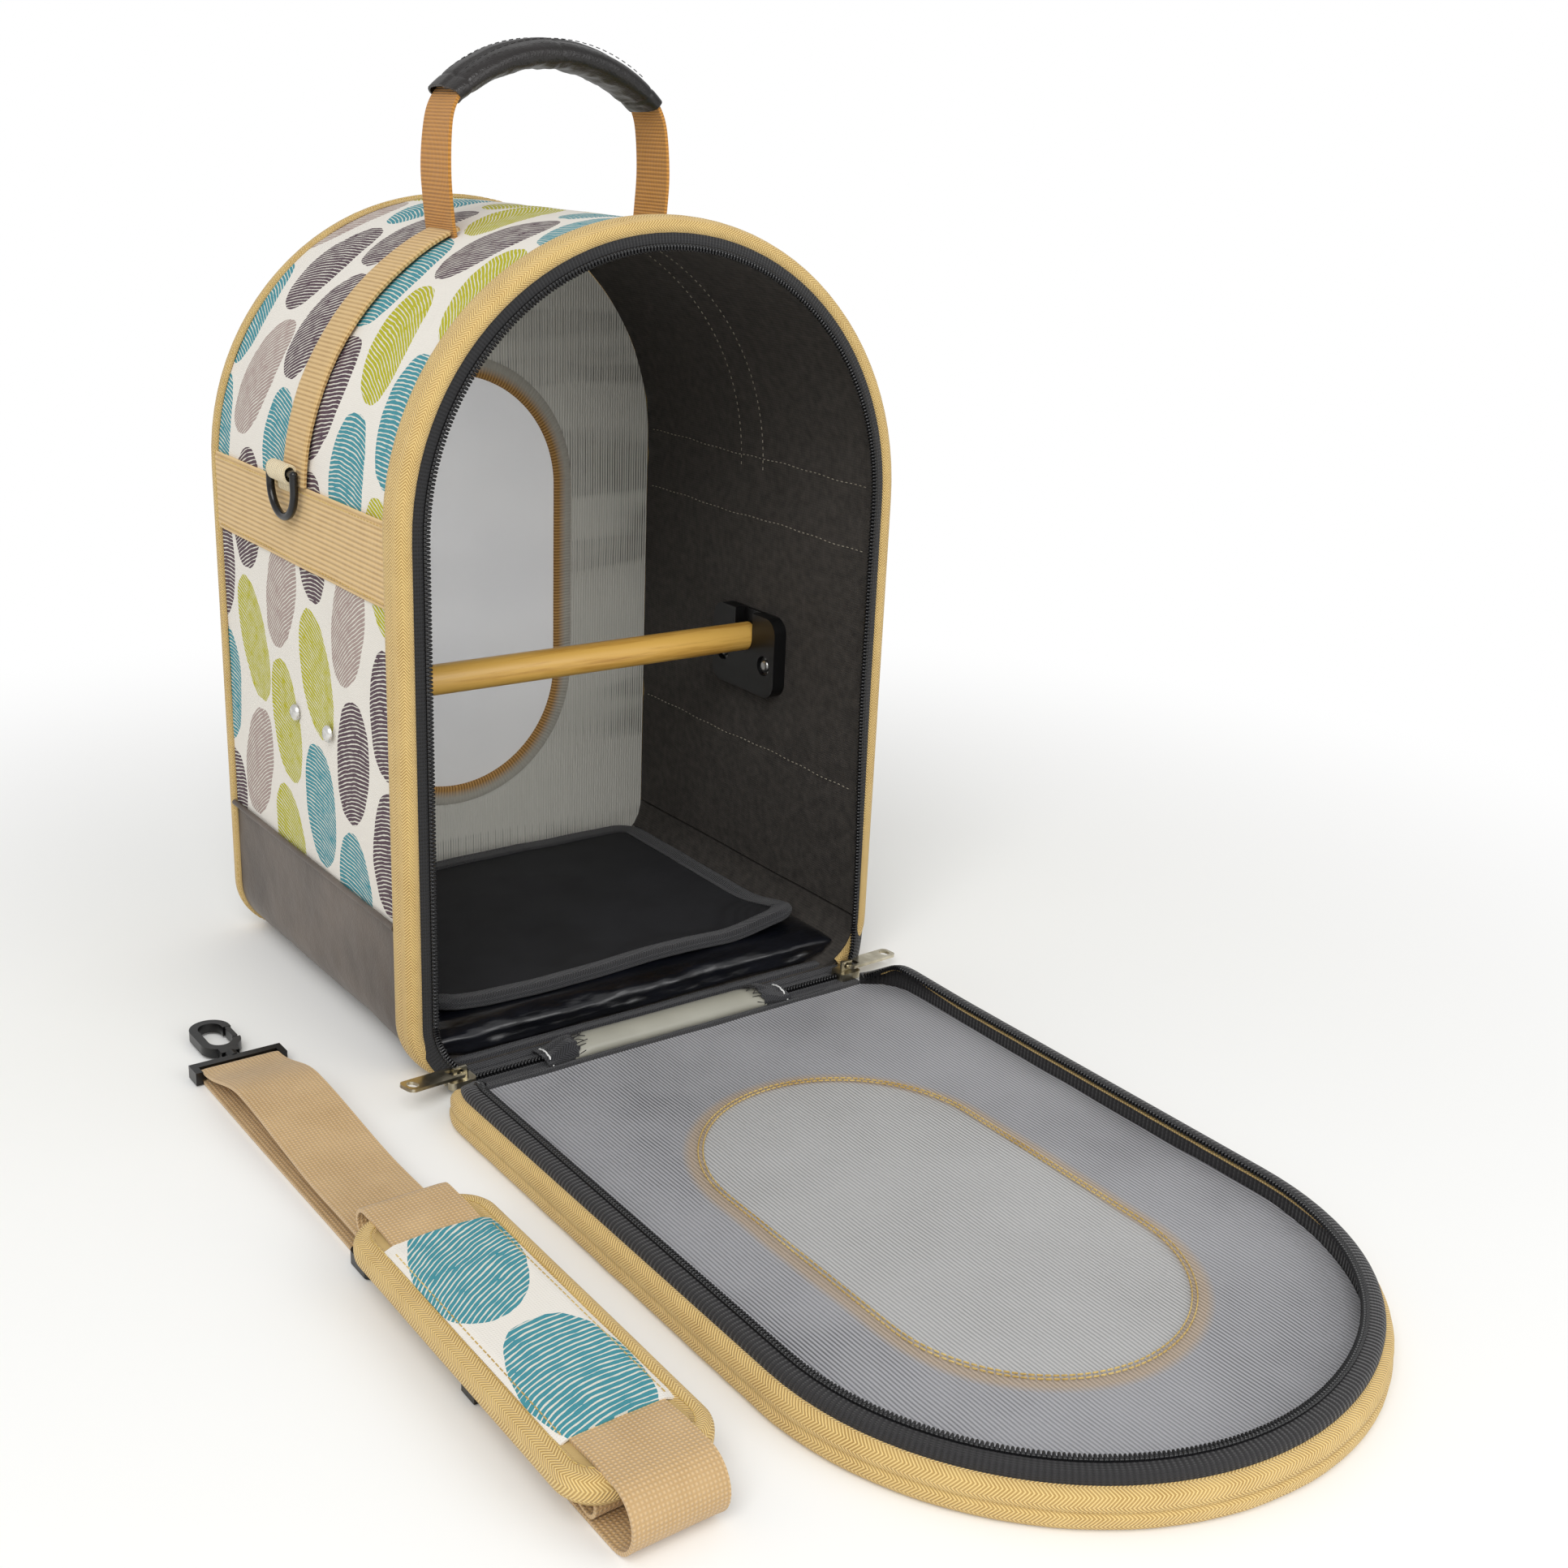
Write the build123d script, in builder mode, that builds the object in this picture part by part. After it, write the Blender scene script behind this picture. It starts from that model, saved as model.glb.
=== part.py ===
"""Soft-sided bird travel carrier with a zip-off front door, a wooden perch and a shoulder strap.

Millimetres, +Z up. The origin is the middle of the carrier's base, on the surface it stands on.
The front faces -Y, and the door lies open, flat on the surface in front of the carrier.
"""
import os
from math import acos, asin, cos, sin, sqrt

from build123d import *

os.makedirs("parts", exist_ok=True)

# Carrier body: an arch-topped tunnel
body_w = 272.0            # across the two side walls
body_h = 400.0            # base to the crown of the arch
body_d = 224.0            # front edge to back face
corner_r = 30.0           # the bottom corners of the arch outline
skin_t = 1.2              # printed canvas and leatherette
board_t = 3.0             # stiffener board with its lining
ply_gap = 0.2             # between two layers sewn together
soft_gap = 0.3            # between parts that move past each other
base_cover_h = 78.0       # height of the leatherette base cover
piping_d = 3.0

# Edge bindings
binding_w = 14.0
binding_t = 1.4
back_binding_w = 7.0
binding_foot = 4.0        # the bindings start this far above the base

# Windows in the back panel and in the door
window_w = 137.0
window_h = 247.0
window_trim_w = 8.0
back_window_z = 184.0
door_window_h0 = 201.0    # from the hinge line to the middle of the door's window
pane_t = 0.8
mesh_t = 1.0
window_trim_t = 1.2

# Zip
tape_t = 1.2
lip_in = 3.0              # how far in the bindings reach over the edges they cover
coil_out = 9.0            # from the outer skin to the zip's coil
tape_out = 4.6            # from the front edge to the line where the two coils meet
coil_d = 2.6
zip_gap = 0.6             # between the two coils with the door closed
slider_room = 14.0        # height at the corners that the sliders need

# Door
door_depth = 21.0         # outer face to the zip line
door_binding_h = 13.0
door_mesh_z = 4.0         # height of the mesh above the door's outer face
hinge_z = 1.5
hinge_clear = 0.1

# Hinge strip with its closed zip ends and its sleeve
strip_t = 1.2
strip_w = 240.0
chain_in = 71.0           # where each closed piece of zip ends, from the middle
chain_out = 118.0         # where each slider stands, from the middle
sleeve_l = 116.0
sleeve_w = 13.0
sleeve_h = 6.5
sleeve_wall = 1.0
tack_t = 0.8
tack_w = 1.6

# Zip sliders and pulls
slider_l = 14.0
slider_w = 11.0
slider_r = 2.75             # corners of the slider's body
slider_h = 3.9
slider_clear = 0.4
lug_h = 5.2
lug_t = 1.6
lug_l = 7.0
lug_clear = 1.0           # the pull hangs loose in its lug
pull_l = 37.0
pull_w = 10.0
pull_t = 1.6
pull_eye_l = 7.0
pull_eye_w = 5.6
pull_hole_d = 6.0
pull_corner = 3.0
left_pull_turn = 198.0    # direction each pull lies in, from +X
right_pull_turn = 8.0
left_pull_tilt = 10.0     # how far each pull hangs below the level
right_pull_tilt = 4.0     # rests higher, so that it passes over the closed zip

# Side webbing and D-rings
band_h = 40.0
band_top_rise = 8.0       # above the spring line of the arch
webbing_t = 1.5
strap_w = 25.0
ring_wire_d = 4.0
ring_inner_w = 25.0
ring_drop = 22.0          # bar to the bottom of the bow, between wire centres
ring_loop_w = 23.0
ring_rise = 6.0           # bar above the band's top edge
ring_y = 6.0              # a little behind the side strap's middle
loop_tail = 20.0

# Handle
handle_span = 114.0       # between the two risers' middles
handle_rise = 45.0        # from the risers' pivots to the grip's ends
grip_sag = 22.0           # the grip's arch
riser_w = 29.0
grip_w = 32.0
grip_t = 13.0
grip_r = 5.0
grip_share = 0.9           # of the arc between the risers, covered by the leatherette

# Perch and its brackets
perch_d = 16.0
perch_z = 168.0
perch_y = -8.0
perch_chamfer = 2.0
perch_side_clear = 0.4
perch_end_clear = 0.5
bracket_w = 60.0
bracket_h = 46.0
bracket_r = 9.0
bracket_plate_t = 2.0
bracket_rim_t = 6.0
bracket_above = 15.0      # above the perch's middle
screw_spacing = 40.0
screw_below = 13.0        # below the perch's middle
screw_d = 4.0
screw_clear = 0.2
screw_head_d = 7.0
screw_head_t = 2.2
washer_d = 11.0
washer_t = 0.8
recess_t = 3.6
nut_d = 9.0
nut_t = 2.4

# Floor
cushion_h = 13.5
cushion_front = 6.0       # behind the front edge
cushion_back = 3.0
cushion_round = 5.0
tray_w = 228.0
tray_d = 184.0
tray_t = 3.0
tray_r = 26.0
tray_edge_w = 8.0
tray_edge_t = 4.2
tray_front = 24.0         # behind the front edge

# Shoulder strap, folded beside the carrier
strap_x = -200.0
strap_web_w = 38.0
strap_web_t = 1.5
pad_w = 61.0
pad_l = 186.0
pad_y = -334.0
pad_z = 14.0
pad_t = 10.0
pad_r = 24.0
pad_edge_w = 7.0
pad_edge_over = 0.8
cover_l = 132.0
cover_w = 46.0
cover_t = 0.8
end_loop_out = 2.0         # where the big loop starts, past the pad's end
inner_loop_in = 14.0       # where the small loop starts, inside the pad's end
head_fold_out = 3.0        # where the fold at the pad's other end starts
rim_in = 12.0              # from each end of the pad to the inside of its binding
rim_run = 26.0             # from each end of the pad to its flat part
fold_run = 16.0            # from that fold to where the run to the open hook has come down
hook_tail = 16.0
hook_a_y = -56.0          # middle of the strap bar of the open hook
hook_b_y = -338.0         # middle of the strap bar of the hook under the pad
hook_z = 3.6
slide_buckle_y = -248.0    # where the strap's end is sewn round the slide buckle

# Swivel snap hooks
eye_bar_d = 3.4
eye_cheek = 3.4
eye_bridge = 4.4
eye_t = 6.4
collar_d = 7.0
collar_l = 5.0
swivel_d = 3.6
swivel_clear = 0.1
swivel_head_d = 5.0
swivel_head_t = 1.4
neck_w = 9.0
neck_l = 4.0
hook_w = 20.0
hook_l = 34.0
hook_t = 5.0
hook_bar = 4.2
gate_l = 12.0
gate_t = 2.6
gate_clear = 0.3

# Slide buckle on the strap
buckle_l = 18.0
buckle_rail = 3.2
buckle_h = 4.2
buckle_bar = 3.0

# Worked out from the sizes above
half_w = body_w / 2
arch_r = half_w
spring_z = body_h - arch_r
front_y = -body_d / 2
back_y = body_d / 2
board_in = skin_t + ply_gap
cabin_in = board_in + board_t
binding_out = binding_t + ply_gap
back_face_y = back_y - skin_t
board_back_y = back_face_y - ply_gap
zip_line_y = front_y - tape_out
hinge_y = zip_line_y - door_depth + hinge_z
door_y0 = hinge_y + hinge_z
strip_top = 2.0
chain_y = (front_y + hinge_y) / 2
cushion_z = cabin_in + soft_gap
tray_z = cushion_z + cushion_h + soft_gap
web_top_x = half_w + webbing_t + ply_gap
band_z1 = spring_z + band_top_rise
band_z0 = band_z1 - band_h
wall_x = half_w - cabin_in
screw_z = perch_z - screw_below
slot_r = perch_d / 2 + perch_side_clear
coil_in = coil_out + coil_d
tape_side = lip_in + ply_gap
tape_edge = coil_out + coil_d / 2


def section_plane(y):
    """Upright plane across the carrier at depth y; its sketches are extruded towards the front."""
    return Plane.XZ.offset(-y)


def door_plane(z):
    """Level plane through the open door; its sketches run away from the hinge and extrude down."""
    return Plane(origin=(0, door_y0, z), x_dir=(1, 0, 0), z_dir=(0, 0, -1))


def arch_sketch(inset):
    """Arch-topped outline, drawn in from the outer skin by the inset."""
    half = half_w - inset
    with BuildSketch() as outline:
        with BuildLine():
            Polyline((-half, spring_z), (-half, inset), (half, inset), (half, spring_z))
            ThreePointArc((half, spring_z), (0, spring_z + half), (-half, spring_z))
        make_face()
        fillet(outline.vertices().group_by(Axis.Y)[0], radius=corner_r - inset)
    return outline.sketch


def arch_ring(plane, outer_inset, inner_inset):
    """Band between two arch outlines, on the given plane."""
    with BuildSketch(plane) as ring:
        add(arch_sketch(outer_inset))
        add(arch_sketch(inner_inset), mode=Mode.SUBTRACT)
    return ring.sketch


def window_sketch(grow):
    """Upright oval with straight sides and round ends, grown outwards all round."""
    with BuildSketch() as oval:
        SlotOverall(window_h + 2 * grow, window_w + 2 * grow, rotation=90)
    return oval.sketch


def oval_ring(plane, middle, outer_grow):
    """Oval band around a window, on the given plane."""
    with BuildSketch(plane) as ring:
        with Locations((0, middle)):
            add(window_sketch(outer_grow))
            add(window_sketch(0), mode=Mode.SUBTRACT)
    return ring.sketch


def finish(part, label):
    """Names a finished piece and writes it out."""
    part.label = label
    export_step(part, f"parts/{label}.step")


# ---------------------------------------------------------------- carrier shell

screw_points = [(perch_y - screw_spacing / 2, screw_z), (perch_y + screw_spacing / 2, screw_z)]

with BuildPart() as wall_board:
    extrude(arch_ring(section_plane(board_back_y), board_in, cabin_in), amount=board_back_y - front_y)
    split(bisect_by=Plane.XY.offset(corner_r), keep=Keep.TOP)
    with BuildSketch(Plane.YZ):
        with Locations(*screw_points):
            Circle(screw_d / 2 + screw_clear)
    extrude(amount=half_w, both=True, mode=Mode.SUBTRACT)
finish(wall_board.part, "wall_board")

with BuildPart() as base_board:
    extrude(arch_ring(section_plane(board_back_y), board_in, cabin_in), amount=board_back_y - front_y)
    split(bisect_by=Plane.XY.offset(corner_r - ply_gap), keep=Keep.BOTTOM)
finish(base_board.part, "base_board")

with BuildPart() as canvas_cover:
    extrude(arch_ring(section_plane(back_y), 0, skin_t), amount=body_d)
    split(bisect_by=Plane.XY.offset(base_cover_h + ply_gap), keep=Keep.TOP)
    with BuildSketch(Plane.YZ):
        with Locations(*screw_points):
            Circle(screw_d / 2 + screw_clear)
    extrude(amount=half_w + skin_t, both=True, mode=Mode.SUBTRACT)
finish(canvas_cover.part, "canvas_cover")

with BuildPart() as base_cover:
    extrude(arch_ring(section_plane(back_y), 0, skin_t), amount=body_d)
    split(bisect_by=Plane.XY.offset(base_cover_h), keep=Keep.BOTTOM)
finish(base_cover.part, "base_cover")

with BuildPart() as base_piping:
    for side in (-1, 1):
        piping_x = side * (half_w + piping_d / 2 + ply_gap)
        with BuildSketch(section_plane(back_y - back_binding_w - ply_gap)):
            with Locations((piping_x, base_cover_h)):
                Circle(piping_d / 2)
        extrude(amount=body_d - binding_w - back_binding_w - 2 * ply_gap)
finish(base_piping.part, "base_piping")

with BuildPart() as front_binding:
    extrude(arch_ring(section_plane(front_y + binding_w), -binding_out, -ply_gap), amount=binding_w + ply_gap)
    extrude(arch_ring(section_plane(front_y - ply_gap), -binding_out, lip_in), amount=binding_t)
    split(bisect_by=Plane.XY.offset(binding_foot), keep=Keep.TOP)
finish(front_binding.part, "front_binding")

with BuildPart() as back_binding:
    extrude(arch_ring(section_plane(back_y + ply_gap), -binding_out, -ply_gap), amount=back_binding_w + ply_gap)
    extrude(arch_ring(section_plane(back_y + ply_gap + binding_t), -binding_out, back_binding_w), amount=binding_t)
    split(bisect_by=Plane.XY.offset(binding_foot), keep=Keep.TOP)
finish(back_binding.part, "back_binding")

with BuildPart() as back_mesh:
    with BuildSketch(section_plane(back_y)):
        add(arch_sketch(board_in))
        with Locations((0, back_window_z)):
            add(window_sketch(0), mode=Mode.SUBTRACT)
    extrude(amount=skin_t)
finish(back_mesh.part, "back_mesh")

with BuildPart() as back_window:
    with BuildSketch(section_plane(back_y - ply_gap)):
        with Locations((0, back_window_z)):
            add(window_sketch(-ply_gap))
    extrude(amount=pane_t)
finish(back_window.part, "back_window")

with BuildPart() as back_window_trim:
    extrude(oval_ring(section_plane(board_back_y), back_window_z, window_trim_w), amount=window_trim_t)
finish(back_window_trim.part, "back_window_trim")

# ---------------------------------------------------------------- body half of the zip

coil_back_y = zip_line_y + zip_gap / 2 + coil_d

with BuildPart() as body_zip_tape:
    extrude(arch_ring(section_plane(coil_back_y + ply_gap + tape_t), tape_side, tape_edge), amount=tape_t)
    split(bisect_by=Plane.XY.offset(slider_room), keep=Keep.TOP)
finish(body_zip_tape.part, "body_zip_tape")

with BuildPart() as body_zip_coil:
    extrude(arch_ring(section_plane(coil_back_y), coil_out, coil_in), amount=coil_d)
    split(bisect_by=Plane.XY.offset(slider_room), keep=Keep.TOP)
finish(body_zip_coil.part, "body_zip_coil")

# ---------------------------------------------------------------- hinge strip

strip_back_y = front_y - ply_gap
strip_front_y = hinge_y + soft_gap

with BuildPart() as hinge_tape:
    with BuildSketch(Plane.XY.offset(strip_top - strip_t)):
        with Locations((0, (strip_back_y + strip_front_y) / 2)):
            Rectangle(strip_w, strip_back_y - strip_front_y)
    extrude(amount=strip_t)
finish(hinge_tape.part, "hinge_tape")

chain_z = strip_top + ply_gap
with BuildPart() as hinge_chain:
    for side in (-1, 1):
        with BuildSketch(Plane.XY.offset(chain_z)):
            with Locations((side * (chain_in + chain_out) / 2, chain_y)):
                Rectangle(chain_out - chain_in, coil_d)
        extrude(amount=coil_d)
finish(hinge_chain.part, "hinge_chain")

with BuildPart() as bar_tacks:
    tack_z = chain_z + coil_d + ply_gap
    for side in (-1, 1):
        with BuildSketch(Plane.XY.offset(tack_z)):
            with Locations((side * (chain_in + tack_w), chain_y)):
                Rectangle(tack_w, slider_w)
        extrude(amount=tack_t)
finish(bar_tacks.part, "bar_tacks")

with BuildPart() as hinge_sleeve:
    with BuildSketch(Plane.YZ.offset(-sleeve_l / 2)) as sleeve_section:
        with Locations((chain_y, chain_z)):
            Ellipse(sleeve_w / 2, sleeve_h)
            Ellipse(sleeve_w / 2 - sleeve_wall, sleeve_h - sleeve_wall, mode=Mode.SUBTRACT)
        split(bisect_by=Plane.XZ.offset(-chain_z), keep=Keep.BOTTOM)
    extrude(amount=sleeve_l)
finish(hinge_sleeve.part, "hinge_sleeve")

# ---------------------------------------------------------------- door, open on the floor

with BuildPart() as door_panel:
    with BuildSketch(door_plane(skin_t)) as door_face:
        add(arch_sketch(0))
        with Locations((0, door_window_h0)):
            add(window_sketch(0), mode=Mode.SUBTRACT)
    extrude(amount=skin_t)
    split(bisect_by=section_plane(hinge_y - hinge_clear), keep=Keep.TOP)
finish(door_panel.part, "door_panel")

with BuildPart() as door_window:
    pane_top = skin_t + ply_gap + pane_t
    with BuildSketch(door_plane(pane_top)):
        with Locations((0, door_window_h0)):
            add(window_sketch(window_trim_w))
    extrude(amount=pane_t)
finish(door_window.part, "door_window")

with BuildPart() as door_window_trim:
    trim_top = pane_top + ply_gap + window_trim_t
    extrude(oval_ring(door_plane(trim_top), door_window_h0, window_trim_w), amount=window_trim_t)
finish(door_window_trim.part, "door_window_trim")

with BuildPart() as door_mesh:
    with BuildSketch(door_plane(door_mesh_z + mesh_t)):
        add(arch_sketch(tape_side + tape_t + ply_gap))
    extrude(amount=mesh_t)
finish(door_mesh.part, "door_mesh")

door_trim_y = door_y0 - slider_room

with BuildPart() as door_binding:
    extrude(arch_ring(door_plane(door_binding_h), -binding_out, -ply_gap), amount=door_binding_h)
    extrude(arch_ring(door_plane(door_binding_h + binding_t), -binding_out, lip_in), amount=binding_t)
    split(bisect_by=section_plane(door_trim_y), keep=Keep.TOP)
finish(door_binding.part, "door_binding")

door_coil_top = door_depth - zip_gap / 2
with BuildPart() as door_zip_tape:
    tape_top = door_coil_top - coil_d - ply_gap
    tape_low = skin_t + ply_gap
    extrude(arch_ring(door_plane(tape_top), tape_side, tape_side + tape_t), amount=tape_top - tape_low)
    extrude(arch_ring(door_plane(tape_top), tape_side, tape_edge), amount=tape_t)
    split(bisect_by=section_plane(door_trim_y), keep=Keep.TOP)
finish(door_zip_tape.part, "door_zip_tape")

with BuildPart() as door_zip_coil:
    extrude(arch_ring(door_plane(door_coil_top), coil_out, coil_in), amount=coil_d)
    split(bisect_by=section_plane(door_trim_y), keep=Keep.TOP)
finish(door_zip_coil.part, "door_zip_coil")

# ---------------------------------------------------------------- zip sliders and pulls

slider_z = strip_top + ply_gap
lug_z = slider_z + slider_h
pull_pivot_z = lug_z + lug_h / 2


def zip_slider(side):
    """Slider that straddles the closed chain, with the lug that holds its pull."""
    with BuildPart() as slider:
        with BuildSketch(Plane.XY.offset(slider_z)):
            with Locations((side * chain_out, chain_y)):
                RectangleRounded(slider_l, slider_w, slider_r)
        extrude(amount=slider_h)
        with BuildSketch(Plane.XY.offset(slider_z)):
            with Locations((side * chain_out, chain_y)):
                Rectangle(2 * slider_l, coil_d + 2 * slider_clear)
        extrude(amount=coil_d + slider_clear, mode=Mode.SUBTRACT)
        with BuildSketch(Plane.XZ.offset(-chain_y)):
            with Locations((side * chain_out, lug_z + lug_h / 2)):
                Rectangle(lug_l, lug_h)
                Circle(pull_t / 2 + lug_clear, mode=Mode.SUBTRACT)
        extrude(amount=lug_t / 2, both=True)
    return slider.part


def zip_pull(side, turn, tilt):
    """Pull tab with the round bar of its eye in the slider's lug and a round hole at its end."""
    lie = Plane(origin=(side * chain_out, chain_y, pull_pivot_z), x_dir=(1, 0, 0), z_dir=(0, 0, 1))
    lie = lie.rotated((0, 0, turn)).rotated((0, tilt, 0))
    with BuildPart() as pull:
        with BuildSketch(lie.offset(-pull_t / 2)):
            with Locations((pull_l / 2 - pull_t / 2, 0)):
                RectangleRounded(pull_l, pull_w, pull_corner)
            with Locations((pull_eye_l / 2, 0)):
                Rectangle(pull_eye_l + pull_t, pull_eye_w, mode=Mode.SUBTRACT)
            with Locations((pull_l - pull_t / 2 - pull_w / 2, 0)):
                Circle(pull_hole_d / 2, mode=Mode.SUBTRACT)
        extrude(amount=pull_t)
        with BuildSketch(Plane(origin=lie.origin, x_dir=lie.x_dir, z_dir=lie.y_dir)):
            Circle(pull_t / 2)
        extrude(amount=(pull_eye_w + pull_t) / 2, both=True)
    return pull.part


for side, hand, turn, tilt in (
    (-1, "left", left_pull_turn, left_pull_tilt),
    (1, "right", right_pull_turn, right_pull_tilt),
):
    finish(zip_slider(side), f"{hand}_slider")
    finish(zip_pull(side, turn, tilt), f"{hand}_pull")

# ---------------------------------------------------------------- side webbing, loops and D-rings

band_front_y = front_y + binding_w + ply_gap
band_back_y = back_y - back_binding_w - ply_gap
foot_angle = acos((handle_span / 2 - webbing_t) / arch_r)
ring_bar_z = band_z1 + ring_rise
loop_inner_r = ring_wire_d / 2 + soft_gap
loop_outer_r = loop_inner_r + webbing_t
ring_bar_x = web_top_x + ply_gap + loop_outer_r


def side_band(side):
    """Wide webbing band sewn level along one side wall."""
    with BuildPart() as band:
        with BuildSketch(Plane.YZ.offset(side * (half_w + ply_gap))):
            with Locations(((band_front_y + band_back_y) / 2, (band_z0 + band_z1) / 2)):
                Rectangle(band_back_y - band_front_y, band_h)
        extrude(amount=side * webbing_t)
    return band.part


def side_strap(side):
    """Strap from the band's top edge up over the arch to the foot of the handle."""
    inner_r = arch_r + ply_gap
    outer_r = inner_r + webbing_t
    low_angle = asin((band_z1 + ply_gap - spring_z) / arch_r)
    angles = (low_angle, (low_angle + foot_angle) / 2, foot_angle)
    with BuildPart() as strap:
        with BuildSketch(Plane.XZ.offset(-strap_w / 2)):
            with BuildLine():
                outer = ThreePointArc(*[(side * outer_r * cos(a), spring_z + outer_r * sin(a)) for a in angles])
                inner = ThreePointArc(*[(side * inner_r * cos(a), spring_z + inner_r * sin(a)) for a in angles])
                Line(outer @ 0, inner @ 0)
                Line(outer @ 1, inner @ 1)
            make_face()
        extrude(amount=strap_w)
    return strap.part


def ring_loop(side):
    """Short webbing loop around the D-ring's bar, with its tail sewn to the band."""
    with BuildPart() as loop:
        with BuildSketch(Plane.XZ.offset(-(ring_y + ring_loop_w / 2))):
            with Locations((side * ring_bar_x, ring_bar_z)):
                Circle(loop_outer_r)
            tail_x = side * (web_top_x + ply_gap + webbing_t / 2)
            with Locations((tail_x, ring_bar_z - loop_tail / 2)):
                Rectangle(webbing_t, loop_tail)
            with Locations((side * ring_bar_x, ring_bar_z)):
                Circle(loop_inner_r, mode=Mode.SUBTRACT)
        extrude(amount=ring_loop_w)
    return loop.part


def d_ring(side):
    """Wire D-ring that hangs from the loop: a straight bar and a round bow."""
    bow_w = ring_inner_w + ring_wire_d
    bow_r = bow_w / 2
    x = side * ring_bar_x
    top = ring_bar_z
    low = ring_bar_z - ring_drop
    with BuildPart() as ring:
        with BuildLine():
            Polyline((x, ring_y - bow_r, low + bow_r), (x, ring_y - bow_r, top), (x, ring_y, top))
        with BuildSketch(Plane(origin=(x, ring_y - bow_r, low + bow_r), z_dir=(0, 0, 1))):
            Circle(ring_wire_d / 2)
        sweep(transition=Transition.ROUND)
        mirror(about=Plane.XZ.offset(-ring_y))
        with BuildLine() as bow:
            ThreePointArc((x, ring_y - bow_r, low + bow_r), (x, ring_y, low), (x, ring_y + bow_r, low + bow_r))
        with BuildSketch(Plane(origin=(x, ring_y - bow_r, low + bow_r), z_dir=(0, 0, 1))):
            Circle(ring_wire_d / 2)
        sweep(path=bow.wires()[0])
    return ring.part


for side, hand in ((-1, "left"), (1, "right")):
    finish(side_band(side), f"{hand}_side_band")
    finish(side_strap(side), f"{hand}_side_strap")
    finish(ring_loop(side), f"{hand}_ring_loop")
    finish(d_ring(side), f"{hand}_d_ring")

# ---------------------------------------------------------------- handle

riser_x = handle_span / 2
strap_crown_r = arch_r + ply_gap + webbing_t
foot_top_z = spring_z + sqrt(strap_crown_r ** 2 - (riser_x - webbing_t / 2) ** 2)
pivot_z = foot_top_z + soft_gap + riser_w / 2
grip_end_z = pivot_z + handle_rise
grip_r_mid = (riser_x ** 2 + grip_sag ** 2) / (2 * grip_sag)
grip_centre_z = grip_end_z + grip_sag - grip_r_mid
grip_half_angle = asin(riser_x / grip_r_mid)


def grip_point(radius, share):
    """Point on an arc about the grip's centre; the share runs from -1 at the left end to 1."""
    angle = share * grip_half_angle
    return (radius * sin(angle), grip_centre_z + radius * cos(angle))


def grip_band(half_t, end_share):
    """Sketch of an arched band along the grip, half_t to each side of its middle line."""
    outer_r = grip_r_mid + half_t
    inner_r = grip_r_mid - half_t
    with BuildSketch() as band:
        with BuildLine():
            top = ThreePointArc(*[grip_point(outer_r, s) for s in (-end_share, 0, end_share)])
            low = ThreePointArc(*[grip_point(inner_r, s) for s in (-end_share, 0, end_share)])
            Line(top @ 0, low @ 0)
            Line(top @ 1, low @ 1)
        make_face()
    return band.sketch


with BuildPart() as handle_webbing:
    with BuildSketch(Plane.XZ.offset(-riser_w / 2)):
        add(grip_band(webbing_t / 2, 1))
        for side in (-1, 1):
            with Locations((side * riser_x, (pivot_z + grip_end_z) / 2)):
                Rectangle(webbing_t, grip_end_z - pivot_z + webbing_t)
    extrude(amount=riser_w)
    for side in (-1, 1):
        with BuildSketch(Plane.YZ.offset(side * riser_x)):
            with Locations((0, pivot_z)):
                Circle(riser_w / 2)
        extrude(amount=webbing_t / 2, both=True)
finish(handle_webbing.part, "handle_webbing")

with BuildPart() as handle_grip:
    with BuildSketch(Plane.XZ.offset(-grip_w / 2)):
        add(grip_band(grip_t / 2, grip_share))
    extrude(amount=grip_w)
    fillet(handle_grip.edges().filter_by(GeomType.CIRCLE), radius=grip_r)
    with BuildSketch(Plane.XZ.offset(-riser_w / 2 - ply_gap)):
        add(grip_band(webbing_t / 2 + ply_gap, 1 / grip_share))
    extrude(amount=riser_w + 2 * ply_gap, mode=Mode.SUBTRACT)
finish(handle_grip.part, "handle_grip")

# ---------------------------------------------------------------- perch, brackets and their screws

bracket_mid_z = perch_z + bracket_above - bracket_h / 2
bracket_t = bracket_plate_t + bracket_rim_t
bracket_face_x = wall_x - ply_gap - bracket_t


def perch_bracket(side):
    """Plate with two raised lobes and an open-topped slot between them for the perch."""
    with BuildPart() as bracket:
        with BuildSketch(Plane.YZ.offset(side * (wall_x - ply_gap))):
            with Locations((perch_y, bracket_mid_z)):
                RectangleRounded(bracket_w, bracket_h, bracket_r)
        extrude(amount=-side * bracket_t)
        with BuildSketch(Plane.YZ.offset(side * bracket_face_x)):
            with Locations((perch_y, perch_z)):
                Circle(slot_r)
            with Locations((perch_y, perch_z + bracket_above)):
                Rectangle(2 * slot_r, 2 * bracket_above)
        extrude(amount=side * bracket_rim_t, mode=Mode.SUBTRACT)
        with BuildSketch(Plane.YZ.offset(side * bracket_face_x)):
            with Locations(*screw_points):
                Circle(washer_d / 2 + screw_clear)
        extrude(amount=side * recess_t, mode=Mode.SUBTRACT)
        with BuildSketch(Plane.YZ.offset(side * bracket_face_x)):
            with Locations(*screw_points):
                Circle(screw_d / 2 + screw_clear)
        extrude(amount=side * bracket_t, mode=Mode.SUBTRACT)
    return bracket.part


for side, hand in ((-1, "left"), (1, "right")):
    finish(perch_bracket(side), f"{hand}_perch_bracket")

washer_face_x = bracket_face_x + recess_t
shank_end_x = half_w + nut_t

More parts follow.
